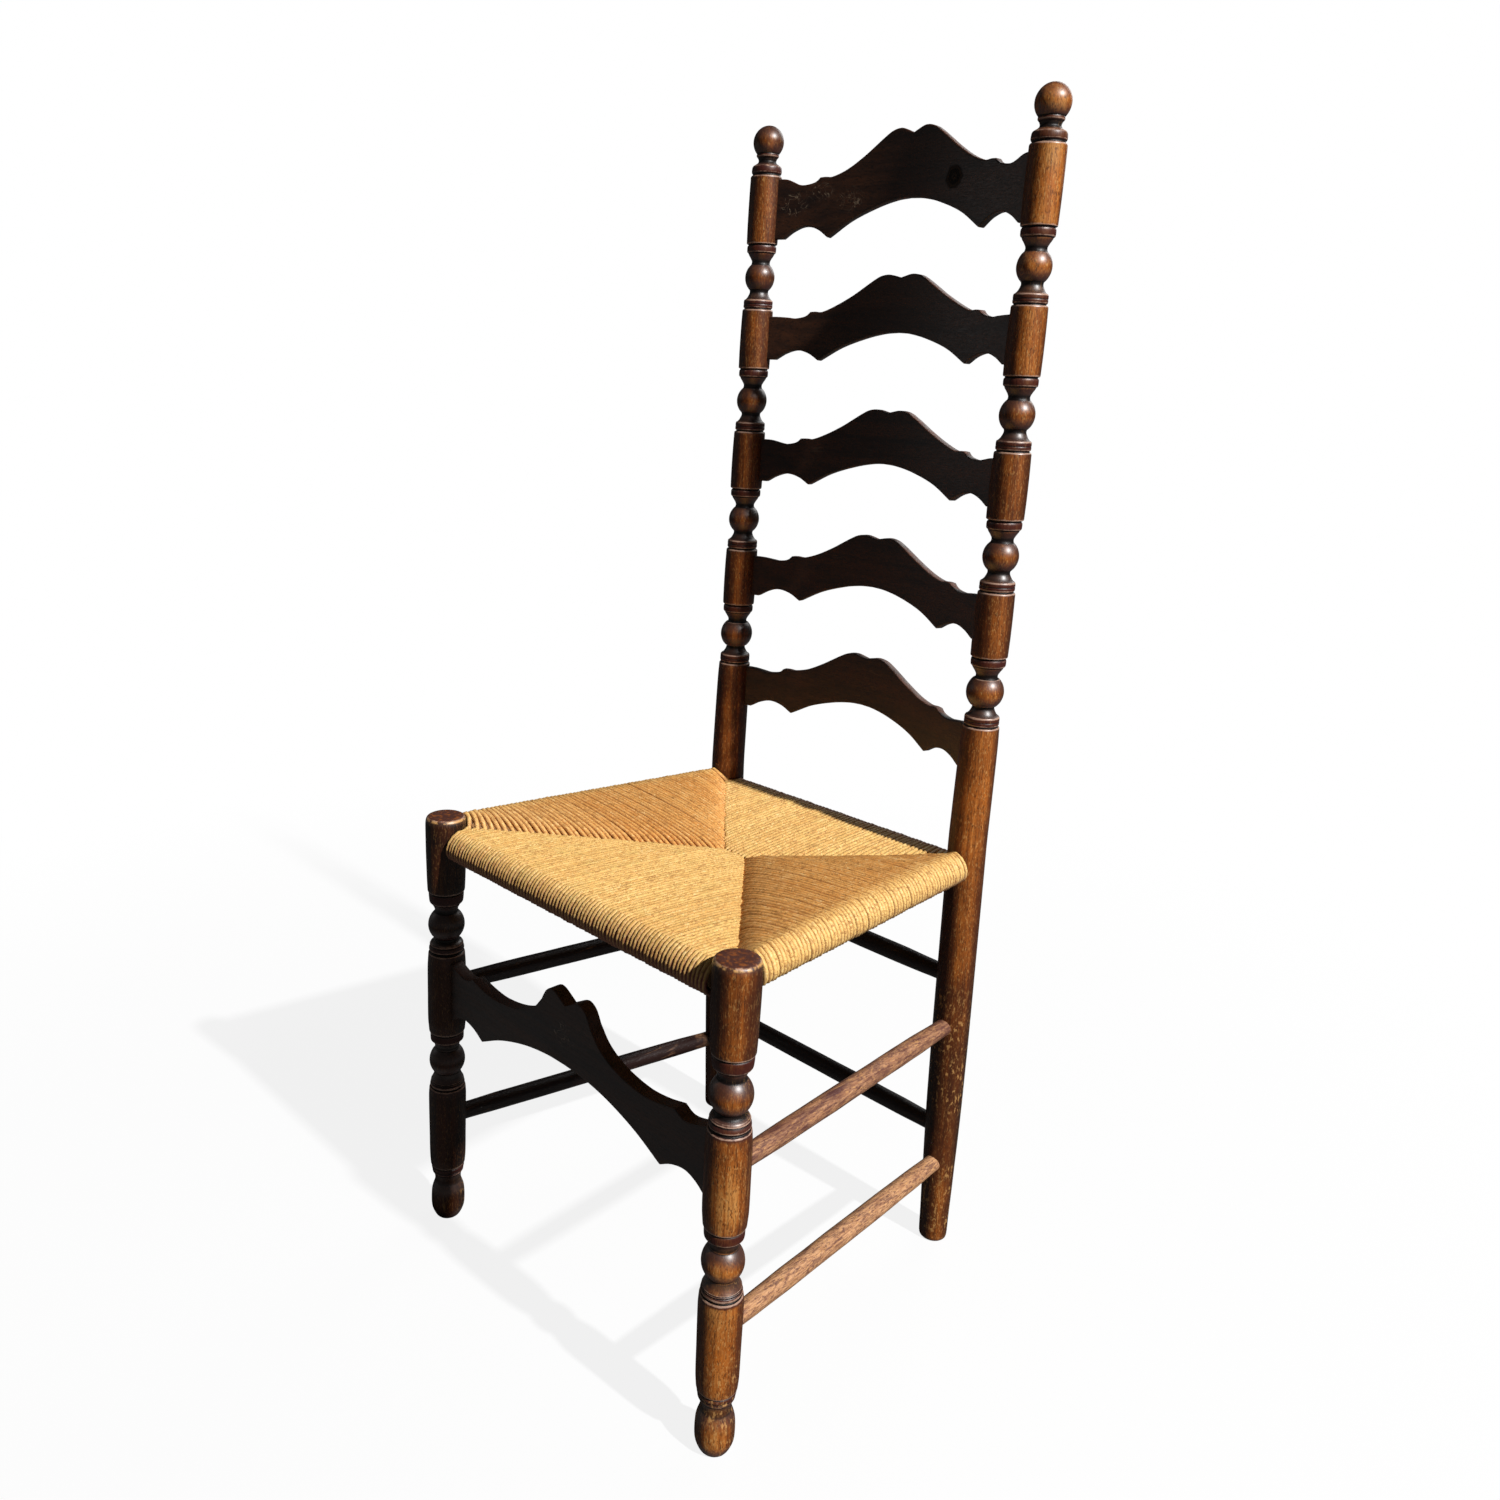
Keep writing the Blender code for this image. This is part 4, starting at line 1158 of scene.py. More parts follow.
def effect(group, *values):
    """Put a shared effect into the open tree; gives its outputs in order."""
    node = new_node("Group", dict(enumerate(values)), node_tree=group)
    return [Value(socket) for socket in node.outputs]


figure, (place, streaks, fibres), ends = start_group(
    "wood_figure", {"Place": ORIGIN, "Streak Scale": 90.0, "Fibre Scale": 520.0},
    ("Streak", "Fibre", "Pore", "Fleck"))
long_place, short_place = drawn_out(place, 0.045), drawn_out(place, 0.30)
other_place = vector("ADD", short_place, (7.3, 2.1, 4.6))
for label, drawn, scale, detail, low, high in (
        ("Streak", long_place, streaks, 3.0, 0.30, 0.70),
        ("Fibre", long_place, fibres, 4.0, 0.30, 0.70),
        ("Pore", short_place, fibres, 2.0, 0.53, 0.63),
        ("Fleck", other_place, fibres, 2.0, 0.56, 0.66)):
    feed(ends[label], remap(noise(drawn, scale, detail, 0.6, 0.3), low, high))

# %% [markdown]
# Wear starts at an edge and eats into the stain unevenly. The group takes the stored edge value
# and breaks it up with noise, so that the bare wood shows in patches and not as a clean line.
#
# Scuffs are thin bright lines where the wax was scratched. They are the narrow bands of a
# stretched noise, shown only where a second, broader noise allows them.
#
# Some marks are at one spot only, such as a knot or a bare patch. The last group gives a soft
# oval round a point of the frame, with a broken outline.

# %% Groups for wear, scuffs and spots
WEAR_SOFTNESS = 0.22
SCUFF_CORE, SCUFF_EDGE = 0.002, 0.009
SPOT_CORE, SPOT_EDGE = 0.7, 1.05

worn, (edge, place, amount, patches), ends = start_group(
    "worn_edge", {"Edge": 0.0, "Place": ORIGIN, "Amount": 0.5, "Patch Scale": 60.0}, ("Mask",))
shown = edge + (noise(place, patches, 5.0, 0.65) - 0.5)
limit = 1.0 - amount
feed(ends["Mask"], remap(shown, limit, limit + WEAR_SOFTNESS))

scuffs, (place, scale), ends = start_group("scuffs", {"Place": ORIGIN, "Scale": 60.0}, ("Mask",))
lines = noise(drawn_out(place, 0.14), scale, 2.0, 0.5, 1.2)
thin = remap(abs(lines - 0.5), SCUFF_CORE, SCUFF_EDGE, 1.0, 0.0)
where = noise(place, scale * 0.35, 3.0)
feed(ends["Mask"], thin * remap(where, 0.52, 0.66))

spot, (place, centre, reach, broken), ends = start_group(
    "spot", {"Place": ORIGIN, "Centre": ORIGIN, "Reach": (0.01, 0.01, 0.01), "Broken": 0.5},
    ("Mask", "Distance"))
scaled = vector("DIVIDE", vector("SUBTRACT", place, centre), reach)
distance = vector("LENGTH", scaled, output="Value") + (noise(place, 120.0, 4.0) - 0.5) * broken
feed(ends["Mask"], remap(distance, SPOT_CORE, SPOT_EDGE, 1.0, 0.0))
feed(ends["Distance"], distance)
print("shared effects:", [group.name for group in bpy.data.node_groups])

# %% [markdown]
# ## Starting and ending a material
#
# Every material starts with the Object coordinates, and ends by feeding colour, roughness and
# relief to its Principled shader. What is one plain number all over goes straight to the
# shader's own socket.

# %% Material helpers
def start_material(name):
    """Open a new material; gives it, and the Object coordinates."""
    material = bpy.data.materials.new(name)
    material.use_nodes = True
    open_tree(material.node_tree)
    return material, add("TexCoord", "Object")


def dress(shade, dull, relief, strength, depth, **plain):
    """Feed the shader of the open material."""
    plain.update(Base_Color=shade, Roughness=dull, Normal=add("Bump", "Normal", {
        "Height": relief, "Strength": strength, "Distance": depth * MM}))
    for name, value in plain.items():
        feed(tree.nodes["Principled BSDF"].inputs[name.replace("_", " ")], value)


def finish_marks():
    """The red, green and blue that were stored on the piece."""
    return parts(add("Attribute", "Color", attribute_name="finish"), "Color")


def stored(name):
    """A single value that was stored on the piece."""
    return add("Attribute", "Fac", attribute_name=name)


LEVEL_MOST = 2.0


def height_levels(height, levels):
    """A value within LEVEL_MOST of zero, from a few pairs of height and value."""
    node = new_node("ValToRGB", {0: height * (1.0 / post_top)})
    elements = node.color_ramp.elements
    elements.remove(elements[1])
    for number, (level, value) in enumerate(levels):
        element = elements.new(level / post_top) if number else elements[0]
        element.position = level / post_top
        share = 0.5 + value / (2 * LEVEL_MOST)
        element.color = (share, share, share, 1.0)
    return remap(Value(node.outputs["Color"]), 0.0, 1.0, -LEVEL_MOST, LEVEL_MOST)


# %% [markdown]
# ## Stained turned wood
#
# The legs and posts have a brown spirit stain that has faded to orange brown where the sun
# reaches. Its grain shows as many short dark pores and pale flecks. The bands of rings were
# coloured a purple brown, the grooves hold nearly black wax, and a few rims are rubbed pale.
# How far the stain has faded is given as levels by height, because each barrel had its own share
# of sun and hands, and each of the four uprights has its own levels. The left front leg's levels
# are painted shade, because that leg stands in the shadow of the seat. The chips are places where
# the stain has come off, apart from the pale patch on the left foot, which is painted light.

# %% Stains and levels
BLACK_WAX_AND_SHADE = 0.0060, 0.0030, 0.0026
DARK_STAIN = 0.050, 0.0130, 0.0035
DEEP_STAIN_AND_SHADE = 0.052, 0.0125, 0.0035
MID_STAIN = 0.145, 0.036, 0.0060
FADED_STAIN = 0.520, 0.150, 0.0190
GOLDEN_STAIN = 0.600, 0.270, 0.070
RING_STAIN_AND_UNDERSIDE_SHADE = 0.056, 0.0095, 0.0065
COVE_STAIN = 0.034, 0.0180, 0.0110
DUSTY_WAX = 0.062, 0.024, 0.017
PALE_FLECK = 0.70, 0.37, 0.12
BARE_RIM = 0.55, 0.34, 0.24
TOP_STAIN = 0.085, 0.029, 0.020
# painted shade: turnings are darkened on their flanks, the more they turn away from this way,
# which points to the camera
PAINTED_SHADE_VIEW_WAY = (0.70, -0.71, 0.0)
DUST_SPAN = (0.06, 0.55)
LEG_TOP, ABOVE_LEG = (0.4560, 0.4580), (0.4605, 0.4610)
RIM_BELOW, RIM_ABOVE = (0.4558, 0.4570), (0.4582, 0.4592)
# along each upright: a height, and how much paler than the usual stain it is there
# the left leg's levels are painted shade: the leg stands in the shadow of the seat
LEFT_LEG_SHADE_LEVELS = ((0.02, -0.55), (0.25, -0.55), (0.38, -0.95), (0.45, -1.20))
RIGHT_LEG_FADES = ((0.02, 0.66), (0.10, 0.70), (0.26, 0.80), (0.38, -0.06), (0.45, -0.22))
LEFT_POST_FADES = ((0.10, -0.15), (0.55, -0.08), (0.72, 0.02), (0.95, 0.0), (1.10, 0.10))
RIGHT_POST_FADES = (
    (0.02, 0.26), (0.07, 0.12), (0.14, -0.36), (0.24, -0.36), (0.36, 0.38), (0.50, 0.88),
    (0.68, 0.22), (0.85, 0.42), (1.00, 0.95), (1.08, 1.08), (1.16, 1.50))
# the first value darkens the whole left leg as painted shade
LEFT_LEG_PAINTED_SHADE, RIGHT_POST_DARKER, OTHERS_DARKER = 0.42, 0.32, 0.12
leg_x = level_centre("front_leg_left", leg_top).x
# each pale place (chipped stain, and one painted patch of light): its centre and its reach along
# the three axes
POST_CHIPS = (
    ((0.166, 0.162, 0.259), (0.030, 0.030, 0.055)),
    ((0.176, 0.172, 0.190), (0.030, 0.030, 0.045)),
    ((0.176, 0.172, 0.050), (0.030, 0.030, 0.060)))
# painted light: a pale patch where the lamp reaches the right edge of the left foot
LEFT_FOOT_PAINTED_LIGHT = (((leg_x + 0.013, leg_y + 0.016, 0.032), (0.010, 0.012, 0.020)),)
LOW_BARREL_CHIPS = (((-leg_x, leg_y, 0.045), (0.035, 0.035, 0.070)),)

# %% [markdown]
# The coats lie in the order in which the years put them on: the stain with its streaks first,
# then pores and pale flecks, then dirt and wear. Painted shade lies among them: the flanks of a
# turning that turn away from the camera are darkened, down to near black at the edges, while the
# side that faces the camera stays a little paler, and faces that look down get the dark ring
# colour. The wax coat is missing in grooves and on the flat tops of the legs.

# %% Turned wood material
def turned_material(name, fades, dust, darker, chips=()):
    """Brown stain with worn rims, dark bands of rings, black grooves and painted shade."""
    material, place = start_material(name)
    streak, fibre, pore, fleck = effect(figure, place, 190.0, 800.0)
    rim, groove, band = finish_marks()
    height = parts(place)[2]
    normal = add("NewGeometry", "Normal")
    facing = parts(normal)[2]
    # painted shade: the flanks turned away from the camera are darkened, down to near black at
    # the edges
    outward = vector("DOT_PRODUCT", normal, PAINTED_SHADE_VIEW_WAY, output="Value")
    fade_and_shade = (streak * 0.80 + height_levels(height, fades) - darker
             + cloud(place, 26.0, 0.3, 0.7, -0.30, 0.30)
             + remap(outward, 0.52, 0.97, -1.05, 0.12))
    top = (remap(facing, 0.45, 0.85) * remap(height, *LEG_TOP)
           * remap(height, *ABOVE_LEG, 1.0, 0.0))
    top_edge = (remap(height, *RIM_BELOW) * remap(height, *RIM_ABOVE, 1.0, 0.0)
                * remap(facing, 0.15, 0.40) * cloud(place, 150.0, 0.44, 0.54, 0.0, 0.90))
    rubbed = effect(worn, rim, place, 0.40, 170.0)[0]
    scratched = effect(scuffs, place, 110.0)[0]
    base = coats(
        blend(remap(fade_and_shade, 0.15, 1.35), MID_STAIN, FADED_STAIN),
        # low values here are dark stain on some barrels, and painted shade on the flanks and on
        # the left leg
        (remap(fade_and_shade, 0.25, -0.45, 0.0, 0.85), DEEP_STAIN_AND_SHADE),
        (remap(fade_and_shade, -0.60, -1.40, 0.0, 0.95), BLACK_WAX_AND_SHADE),
        (remap(fade_and_shade, 0.8, 1.4) * cloud(place, 16.0, 0.42, 0.62, 0.0, 0.8), GOLDEN_STAIN),
        (remap(fibre, 0.5, 1.0, 0.0, 0.65), DARK_STAIN),
        (pore * cloud(place, 70.0, 0.35, 0.65, 0.35, 0.80), DARK_STAIN),
        (fleck * remap(fade_and_shade, -0.2, 1.0, 0.15, 0.55), PALE_FLECK),
        (band * cloud(place, 60.0, 0.35, 0.62, 0.76, 0.97), RING_STAIN_AND_UNDERSIDE_SHADE),
        (stored("cove") * 0.88, COVE_STAIN),
        (remap(facing, *DUST_SPAN, 0.0, dust) * cloud(place, 90.0, 0.35, 0.6, 0.55, 1.0)
         * remap(band, 0.0, 1.0, 1.0, 0.35), DUSTY_WAX),
        # painted shade: faces that look down are darkened with the ring colour
        (remap(facing, -0.15, -0.65, 0.0, 0.85), RING_STAIN_AND_UNDERSIDE_SHADE),
        (remap(groove, 0.08, 0.55, 0.0, 0.97), BLACK_WAX_AND_SHADE),
        (top * 0.95, blend(cloud(place, 220.0, 0.50, 0.64, 0.0, 0.45), TOP_STAIN, FADED_STAIN)),
        (top_edge, PALE_FLECK),
        (rubbed * 0.75, BARE_RIM),
        (scratched * 0.35, PALE_FLECK))
    # pale patches: chipped stain, and on the left foot painted light
    for centre, reach in chips:
        broken = cloud(drawn_out(place, 0.45), 330.0, 0.57, 0.64, 0.0, 0.55, 3.0)
        base = blend(effect(spot, place, centre, reach, 0.6)[0] * broken, base, PALE_FLECK)
    waxed = (remap(abs(facing), 0.04, 0.30, 0.05, 1.0) * remap(top, 0.0, 1.0, 1.0, 0.1)
             * remap(groove, 0.1, 0.6, 1.0, 0.1) * remap(band, 0.0, 1.0, 1.0, 0.55))
    dress(base, remap(fibre, 0.0, 1.0, 0.40, 0.50) + rubbed * 0.12, pore * -0.6 + fibre,
          0.35, 0.35, Coat_Weight=waxed, Specular_IOR_Level=0.32, Coat_Roughness=0.40,
          Coat_IOR=1.65)
    print("finish of", name, "has", len(tree.nodes), "nodes")
    return material


for piece, name, *levels in (
        (turned_leg, "stained_left_leg_wood", LEFT_LEG_SHADE_LEVELS, 0.80, LEFT_LEG_PAINTED_SHADE,
         LEFT_FOOT_PAINTED_LIGHT),
        (turned_leg_right, "stained_right_leg_wood", RIGHT_LEG_FADES, 0.80, OTHERS_DARKER,
         LOW_BARREL_CHIPS),
        (turned_post, "stained_left_post_wood", LEFT_POST_FADES, 0.55, OTHERS_DARKER),
        (turned_post_right, "stained_right_post_wood", RIGHT_POST_FADES, 0.40,
         RIGHT_POST_DARKER, POST_CHIPS)):
    piece.data.materials.append(turned_material(name, *levels))

# %% [markdown]
# ## Slats and board
#
# The slats are almost black. Their grain runs across the chair, so the Object coordinates are
# turned a quarter before they reach the figure group. The top slat has an oval knot right
# of its middle, and a few fine scratches near its left end.

# %% Slat and board material
SLAT_DARK = 0.018, 0.0076, 0.0050
SLAT_BROWN = 0.076, 0.0270, 0.0110
SLAT_WORN = 0.20, 0.070, 0.040
SCRATCHED = 0.34, 0.25, 0.17
KNOT_RING = 0.085, 0.050, 0.035
KNOT, KNOT_REACH = (0.0572, 0.2115, 1.1059), (0.0125, 0.03, 0.0130)
SCRATCH_REACH = (0.017, 0.03, 0.013)
SLAT_SCRATCHES = ((-0.136, 0.195, 1.090), (-0.108, 0.203, 1.104), (-0.071, 0.209, 1.092))
BOARD_SCRATCHES = ((-0.003, -0.211, 0.304),)
ALONG_X, ALONG_Y = (0.0, math.pi / 2, 0.0), (math.pi / 2, 0.0, 0.0)


def turned_grain(place, way):
    """Object coordinates, turned so that the grain runs along another axis."""
    return add("Mapping", "Vector", {"Vector": place, "Rotation": way})


def hair_lines(place):
    """Thin curved lines, where a fine noise crosses its middle level."""
    return remap(abs(noise(place, 70.0, 1.0, distortion=2.0) - 0.5), 0.003, 0.012, 0.8, 0.0)


def board_material(name, edge_amount, knot=None, scratches=()):
    """Dark stained board with grain along X, rubbed upper edges and scratches."""
    material, place = start_material(name)
    across = turned_grain(place, ALONG_X)
    streak, fibre, pore, _ = effect(figure, across, 70.0, 600.0)
    upper, lower, _ = finish_marks()
    base = coats(blend(streak, SLAT_DARK, SLAT_BROWN), (pore * 0.6, BLACK_WAX_AND_SHADE))
    dull = remap(fibre, 0.0, 1.0, 0.30, 0.44)
    if knot:
        oval, distance = effect(spot, place, knot, KNOT_REACH, 0.60)
        rings = remap(reckon("SINE", distance * 12.0), 0.3, 1.0, 0.0, 0.5)
        base = blend(oval, base, blend(rings, BLACK_WAX_AND_SHADE, KNOT_RING))
        dull = reckon("MAXIMUM", dull, oval)
    rubbed = reckon("MAXIMUM", effect(worn, upper, place, edge_amount, 75.0)[0],
                    effect(worn, lower, place, edge_amount * 0.6, 75.0)[0])
    scuffed = effect(scuffs, across, 55.0)[0]
    base = coats(base, (rubbed * 0.4, SLAT_WORN), (scuffed * 0.12, SCRATCHED), *(
        (effect(spot, place, centre, SCRATCH_REACH, 0.8)[0] * hair_lines(place), SCRATCHED)
        for centre in scratches))
    dress(base, dull + rubbed * 0.15, pore * -0.5 + fibre, 0.3, 0.3, Specular_IOR_Level=0.7)
    return material


slat_wood = board_material("stained_slat_wood", 0.10)
knotted_wood = board_material("stained_top_slat_wood", 0.10, KNOT, SLAT_SCRATCHES)
board_wood = board_material("stained_board_wood", 0.15, scratches=BOARD_SCRATCHES)
for slat in slats:
    slat.data.materials.append(knotted_wood if slat.name == "bowed_slat_1" else slat_wood)
board.data.materials.append(board_wood)
print("board finishes:", slat_wood.name, knotted_wood.name, board_wood.name)

# %% [markdown]
# ## Rungs and rails
#
# Feet have worn the side rungs down to tan, with the dark stain left in streaks along the
# grain. On the left rungs painted shade covers that wear and leaves them near black, and the back
# rungs are dark stain with painted shade on it, both for the shade under the seat. The rails were
# never stained, because the rush hides them.

# %% Rung and rail materials
RUNG_TAN = 0.52, 0.275, 0.145
PALE_TAN = 0.74, 0.410, 0.205
RUNG_ORANGE = 0.30, 0.120, 0.055
RUNG_DARK = 0.110, 0.040, 0.034
# painted shade: the left and back rungs are stained darker still, near black, as the shade under
# the seat
RUNG_DARK_STAIN_AND_SHADE = 0.018, 0.0065, 0.0050
BACK_RUNG_TAN_AND_SHADE = 0.11, 0.045, 0.020
RAIL_LIGHT = 0.44, 0.29, 0.15
RAIL_DARK = 0.28, 0.16, 0.075
# painted light: a pale patch on the lower left rung, where sun falls between the seat and the
# right post
LEFT_RUNG_PAINTED_LIGHT = (-0.190, 0.141, 0.089), (0.03, 0.020, 0.03)


def rung_material(name, grain, worn_share, tan, between, dark, patch=None):
    """Streaked worn wood; worn_share is how much of the stain is gone."""
    material, place = start_material(name)
    along = turned_grain(place, grain)
    streak, fibre, pore, fleck = effect(figure, along, 330.0, 700.0)
    gone = streak * 0.55 + cloud(place, 30.0, 0.2, 0.8, 0.0, 0.6, 5.0)
    gone = remap(gone, 0.72 - 0.6 * worn_share, 1.12 - 0.6 * worn_share)
    # painted light: within the patch the rung shows its pale tan
    if patch:
        gone = reckon("MAXIMUM", gone, effect(spot, place, *patch)[0])
    base = coats(
        blend(gone, dark, blend(fibre, tan, between)),
        (pore * 0.7, dark),
        (cloud(drawn_out(along, 0.10), 330.0, 0.52, 0.64, 0.0, 0.70, 3.0), dark),
        (fleck * gone * 0.5, PALE_FLECK))
    dress(base, remap(gone, 0.0, 1.0, 0.34, 0.55), pore * -0.6 + fibre, 0.35, 0.35)
    return material


rung_woods = {
    "side_rung_upper_right": rung_material(
        "worn_upper_rung_wood", ALONG_Y, 0.70, RUNG_TAN, RUNG_ORANGE, RUNG_DARK),
    "side_rung_lower_right": rung_material(
        "worn_lower_rung_wood", ALONG_Y, 1.05, PALE_TAN, RUNG_ORANGE, RUNG_DARK),
    "left": rung_material(
        "left_rung_wood_painted_shade", ALONG_Y, 0.0, RUNG_TAN, RUNG_ORANGE, RUNG_DARK_STAIN_AND_SHADE, LEFT_RUNG_PAINTED_LIGHT),
    "back": rung_material(
        "back_rung_wood_painted_shade", ALONG_X, 0.0, BACK_RUNG_TAN_AND_SHADE, RUNG_DARK_STAIN_AND_SHADE, RUNG_DARK_STAIN_AND_SHADE)}
for node, rung in rungs.items():
    rung.data.materials.append(next(wood for part, wood in rung_woods.items() if part in node))

rail_wood, place = start_material("bare_rail_wood")
streak, fibre, pore, _ = effect(figure, place, 80.0, 600.0)
base = coats(blend(streak, RAIL_DARK, RAIL_LIGHT), (pore * 0.5, RAIL_DARK))
dress(base, remap(fibre, 0.0, 1.0, 0.6, 0.8), fibre, 0.3, 0.3)
for label in ("front", "back", "left", "right"):
    for material_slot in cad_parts["seat_rail_" + label].material_slots:
        material_slot.material = rail_wood
print("rung finishes:", [rung.data.materials[0].name for rung in rungs.values()])

# %% [markdown]
# ## Rush
#
# Rush cord is twisted from leaves, so fine slanting lines run round it. These follow the cord's
# own UV map, where one unit along is one full twist, and a noise bends them, because a hand
# never twists evenly. Every turn has its own tone. The side triangles are painted a browner,
# more orange straw than the front and the back, as the shade of cords that run along the light.
# Where the cords roll over a rail, the grooves between them and the undersides are darkened with
# soil and painted shade, reddest on the front roll. The lines also drive the bump, which is far
# too small to model.

# %% Colours of the rush
STRAW = 0.86, 0.530, 0.165
GOLD = 0.76, 0.430, 0.120
GREEN_STRAW = 0.68, 0.49, 0.15
# painted shade: the side triangles' straw is browner and more orange, as the shade of cords that
# run along the light
SIDE_STRAW_PAINTED_SHADE = 0.92, 0.455, 0.120
SIDE_GOLD_PAINTED_SHADE = 0.80, 0.350, 0.082
SIDE_PALE = 0.93, 0.54, 0.190
# painted light: cream towards the front corner of the left triangle, and a paler straw on the
# side rolls
LEFT_CORNER_PAINTED_LIGHT = 0.95, 0.60, 0.230
SIDE_ROLL_PAINTED_LIGHT = 0.95, 0.60, 0.195
LEAF_BROWN = 0.40, 0.185, 0.052
PALE_LEAF = 0.98, 0.76, 0.38
# soil and painted shade in the grooves between the cords
GROOVE_SOIL_AND_SHADE = 0.250, 0.070, 0.055
# painted shade: the underside of the rolls
UNDER_ROLL_PAINTED_SHADE = 0.36, 0.150, 0.105
SHADED_ROLL = 0.50, 0.190, 0.140
# painted shade on the side of each cord that faces away from the lamp
FLANK_PAINTED_SHADE = 0.330, 0.100, 0.085
# painted shade: the stuffing is straw darkened to the tone of rush in shade
STUFFING_DARK, STUFFING_LIGHT = (0.160, 0.075, 0.028), (0.38, 0.19, 0.07)


# %% [markdown]
# First come the places on the seat where the tone changes. The roll of the side rails is painted
# a paler straw than the top, as the light that falls on it; the roll behind gets a painted shade
# of the slats; and the left triangle is painted paler towards its front corner, where the sun
# reaches it.

# %% Rolls of the seat
def side_roll(axes, base, rolled):
    """The mask of the side rolls, and the base with painted light on that roll and on the left
    front corner.
    """
    pale = (remap(axes[1], leg_y + 30 * MM, leg_y + 150 * MM, 0.65, 0.0)
            * remap(axes[0], -60 * MM, -20 * MM, 1.0, 0.0))
    slope = (side_back.x - side_front.x) / (side_back.y - side_front.y)
    axis = side_front.x - slope * side_front.y
    on_roll = remap(abs(axes[0]) - axes[1] * slope, axis - 14 * MM, axis + 6 * MM)
    return on_roll, coats(base, (pale, LEFT_CORNER_PAINTED_LIGHT), (on_roll, rolled))


def end_roll(axes, base):
    """The mask of the front and back rolls, and the base with the shaded back roll."""
    middle, half = (front_rail.y + back_rail.y) / 2, (back_rail.y - front_rail.y) / 2
    on_roll = remap(abs(axes[1] - middle), half - 4 * MM, half + 4 * MM)
    behind = remap(axes[1], back_rail.y - 7 * MM, back_rail.y - 1 * MM, 0.0, 0.85)
    return on_roll, blend(behind, base, SHADED_ROLL)


# %% [markdown]
# The material then lays leaf lines, twist lines, soil and painted shade over that base. The dark
# between two cords, soil and painted shade together, sits where the cord's side faces its
# neighbour, so it reads the normal along the rail. On the rolls the side of each cord that faces
# away from the lamp is painted as shade, and so are the undersides.

# %% Rush material
def rush_material(name, straw, gold, patch, flank, rolled=None):
    """Twisted rush; flank is the axis across the cords, rolled the tone round the rail."""
    material, place = start_material(name)
    u, v, _ = parts(add("UVMap", "UV", uv_map="UVMap"))
    tone = stored("tone")
    twist = u * 0.5 + v + cloud(place, 140.0, 0.2, 0.8, -0.4, 0.4, 2.0)
    leaf_place = add("CombineXYZ", "Vector", {"X": twist * 5.5, "Y": u * 1.6, "Z": tone * 40.0})
    leaf = noise(leaf_place, 1.7, 4.0, 0.6)
    groove = reckon("SINE", twist * (4 * math.pi))
    axes = parts(place)
    base = blend(tone, straw, gold)
    on_roll, base = side_roll(axes, base, rolled) if rolled else end_roll(axes, base)

    def below(start, end, low, high):
        """A value that changes between two heights over the rail, in millimetres."""
        return remap(axes[2], front_rail.z + start * MM, front_rail.z + end * MM, low, high)

    leaning = parts(add("NewGeometry", "Normal"))[flank]
    sideways = abs(leaning)
    low = below(12, -1, 0.10, 0.50 if rolled else 0.97)
    # painted shade: on the rolls, the side of each cord that faces away from the lamp is darkened
    flank_shade = remap(leaning, 0.10, -0.25) * below(9, 1, 0.0, 0.05 if rolled else 0.92)
    soil_and_shade = reckon("MAXIMUM", remap(sideways, 0.38, 0.78) * low * on_roll,
                    remap(sideways, 0.45, 0.85, 0.0, 0.22 if rolled else 0.08))
    base = coats(
        base,
        (cloud(place, 48.0, 0.48, 0.72, 0.0, 0.5), patch),
        (remap(leaf, 0.50, 0.62, 0.0, 0.80), LEAF_BROWN),
        (remap(leaf, 0.46, 0.34, 0.0, 0.50), PALE_LEAF),
        (remap(groove, -1.0, -0.7, 0.30, 0.0), LEAF_BROWN),
        (flank_shade * on_roll, FLANK_PAINTED_SHADE),
        (soil_and_shade, GROOVE_SOIL_AND_SHADE),
        # painted shade: the undersides of the rolls are darkened
        (below(-1, -11, 0.0, 0.85) * on_roll, UNDER_ROLL_PAINTED_SHADE))
    dress(base, remap(leaf, 0.2, 0.8, 0.45, 0.62), groove * 0.10 + leaf, 0.45, 0.5,
          Specular_IOR_Level=0.35)
    return material


straw_rush = rush_material("straw_rush", STRAW, GOLD, GREEN_STRAW, 0)
side_rush_painted_shade = rush_material("side_rush_painted_shade", SIDE_STRAW_PAINTED_SHADE, SIDE_GOLD_PAINTED_SHADE, SIDE_PALE, 1, SIDE_ROLL_PAINTED_LIGHT)
for name, piece in rush.items():
    ends_of_seat = name in ("rush_front", "rush_back")
    piece.data.materials.append(straw_rush if ends_of_seat else side_rush_painted_shade)

shaded_stuffing_paint, place = start_material("stuffing_painted_shade")
fluff = cloud(place, 400.0, 0.3, 0.7)
dress(blend(fluff, STUFFING_DARK, STUFFING_LIGHT), remap(fluff, 0.2, 0.8, 0.7, 0.95), fluff,
      0.6, 0.6)
stuffing.data.materials.append(shaded_stuffing_paint)
print("rush finishes:", straw_rush.name, side_rush_painted_shade.name, shaded_stuffing_paint.name)

# %% [markdown]
# ## Floor and world
#
# The chair stands on a plain pale floor that turns into a white world a little way off. Only
# the camera's own rays see that white. For all other rays the floor and the world are dim, so
# that they fill the shadows a little and no more.

# %% Floor and world
FLOOR_SIDE = 30.0
FILL_LEVEL = 0.036
FLOOR_BOUNCE = (0.08, 0.08, 0.08)
FLOOR_PALE, WHITE = (0.9, 0.9, 0.9), (1.0, 1.0, 1.0)
SHADOW_SHARE = 0.14
SHADOW_ENDS = (0.6, 1.7)


def seen_directly():
    """One for rays that come from the camera, also through glass."""
    path = new_node("LightPath", {}).outputs
    return reckon("MAXIMUM", Value(path["Is Camera Ray"]), Value(path["Is Transmission Ray"]))


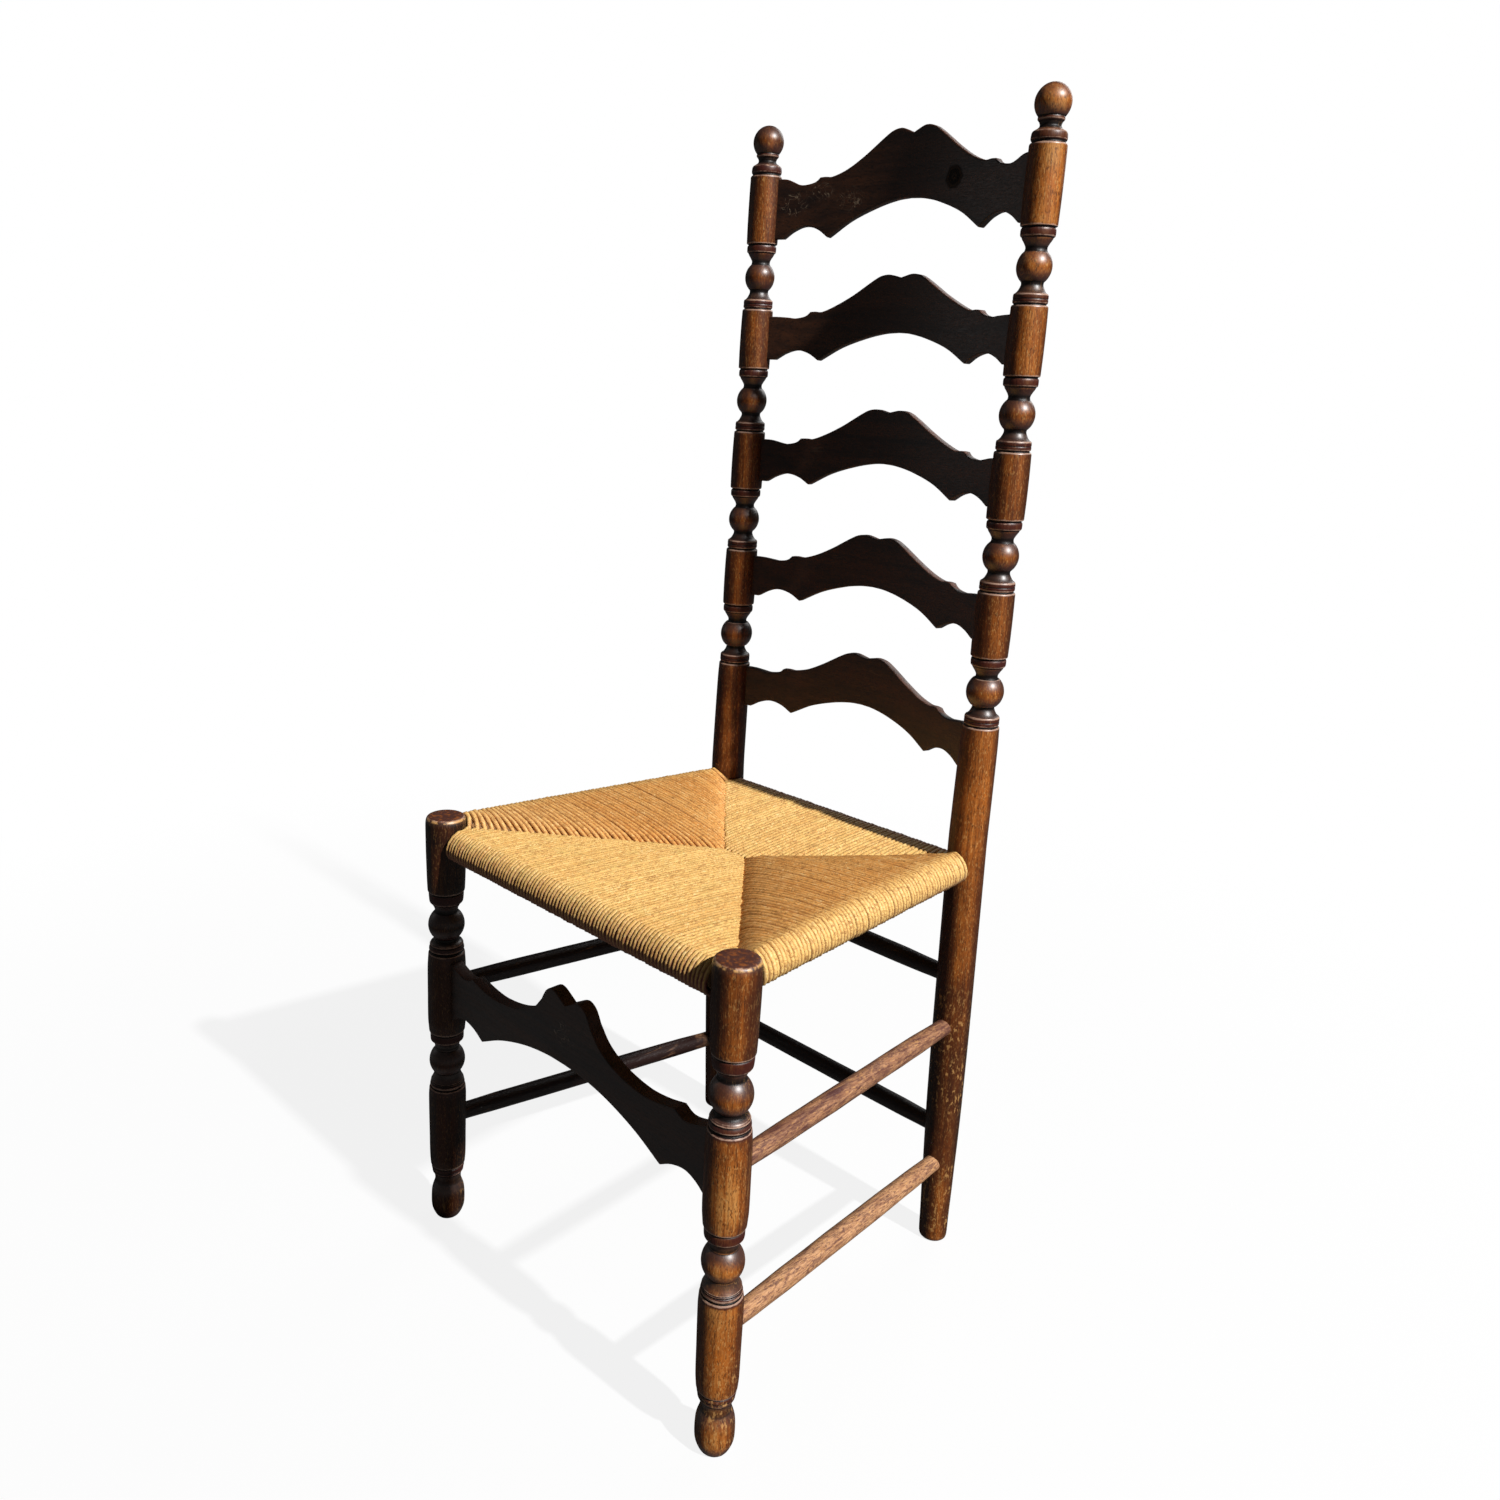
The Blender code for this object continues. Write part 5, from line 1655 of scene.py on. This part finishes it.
pick()
bpy.ops.mesh.primitive_plane_add(size=FLOOR_SIDE)
floor = bpy.context.object
floor.name = "studio_floor"
floor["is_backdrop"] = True

floor_paint, place = start_material("studio_floor_paint")
seen = seen_directly()
paper = remap(vector("LENGTH", place, output="Value"), *SHADOW_ENDS, 1.0 - SHADOW_SHARE, 1.0,
              interpolation_type="SMOOTHSTEP")
shader = tree.nodes["Principled BSDF"]
feed(shader.inputs["Base Color"], blend(seen, FLOOR_BOUNCE, FLOOR_PALE))
feed(shader.inputs["Roughness"], cloud(place, 3.0, 0.3, 0.7, 0.85, 0.95))
glow = add("Emission", "Emission", {"Color": WHITE, "Strength": 1.0})
feed(tree.nodes["Material Output"].inputs["Surface"], add(
    "MixShader", "Shader", {0: seen * paper, 1: Value(shader.outputs[0]), 2: glow}))
floor.data.materials.append(floor_paint)

world = bpy.context.scene.world = bpy.data.worlds.new("studio_world")
world.use_nodes = True
open_tree(world.node_tree)
background = tree.nodes["Background"]
feed(background.inputs["Color"], WHITE)
feed(background.inputs["Strength"], remap(seen_directly(), 0.0, 1.0, FILL_LEVEL, 1.0))
print("floor and world:", floor.name, world.name)

# %% [markdown]
# ## Lamps
#
# One lamp lights the chair from its right side, as the afternoon sun did: the left side of every
# turning falls into shade, and the right post's shadow lies along the back of the seat. Its
# direction was found from the highlights on the balls, and it stands far off so that its light
# is nearly parallel. A weak card at the other side and a weak lamp behind keep the dark sides
# readable.

# %% Lamps
LAMP_TARGET = Vector((0.0, 0.0, 0.55))
LAMPS = {  # azimuth, elevation, distance, side of the square, level
    "key_lamp": (1.9, 39.7, 16.0, 0.4, 1.4),
    "sky_card": (207.0, 13.0, 4.0, 1.4, 0.014),
    "back_lamp": (100.0, 30.0, 5.0, 2.5, 0.16)}


def lamp(name, azimuth, elevation, distance, side, level):
    """A square soft lamp; at level 1 a white card that faces it renders white."""
    azimuth, elevation = math.radians(azimuth), math.radians(elevation)
    way = Vector((math.cos(azimuth) * math.cos(elevation),
                  math.sin(azimuth) * math.cos(elevation), math.sin(elevation)))
    data = bpy.data.lights.new(name, "AREA")
    data.shape = "SQUARE"
    data.size = side
    data.energy = level * (math.pi * distance) ** 2
    made = bpy.data.objects.new(name, data)
    made.location = LAMP_TARGET + way * distance
    made.rotation_euler = way.to_track_quat("Z", "Y").to_euler()
    bpy.context.scene.collection.objects.link(made)


for name, settings in LAMPS.items():
    lamp(name, *settings)
bpy.context.scene.view_settings.view_transform = "Standard"

# %% [markdown]
# ## The finished box
#
# The box of the finished chair is printed.

# %% Write the sizes and finish
low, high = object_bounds()
print("visual box", [round(v, 4) for v in (*low, *high)])
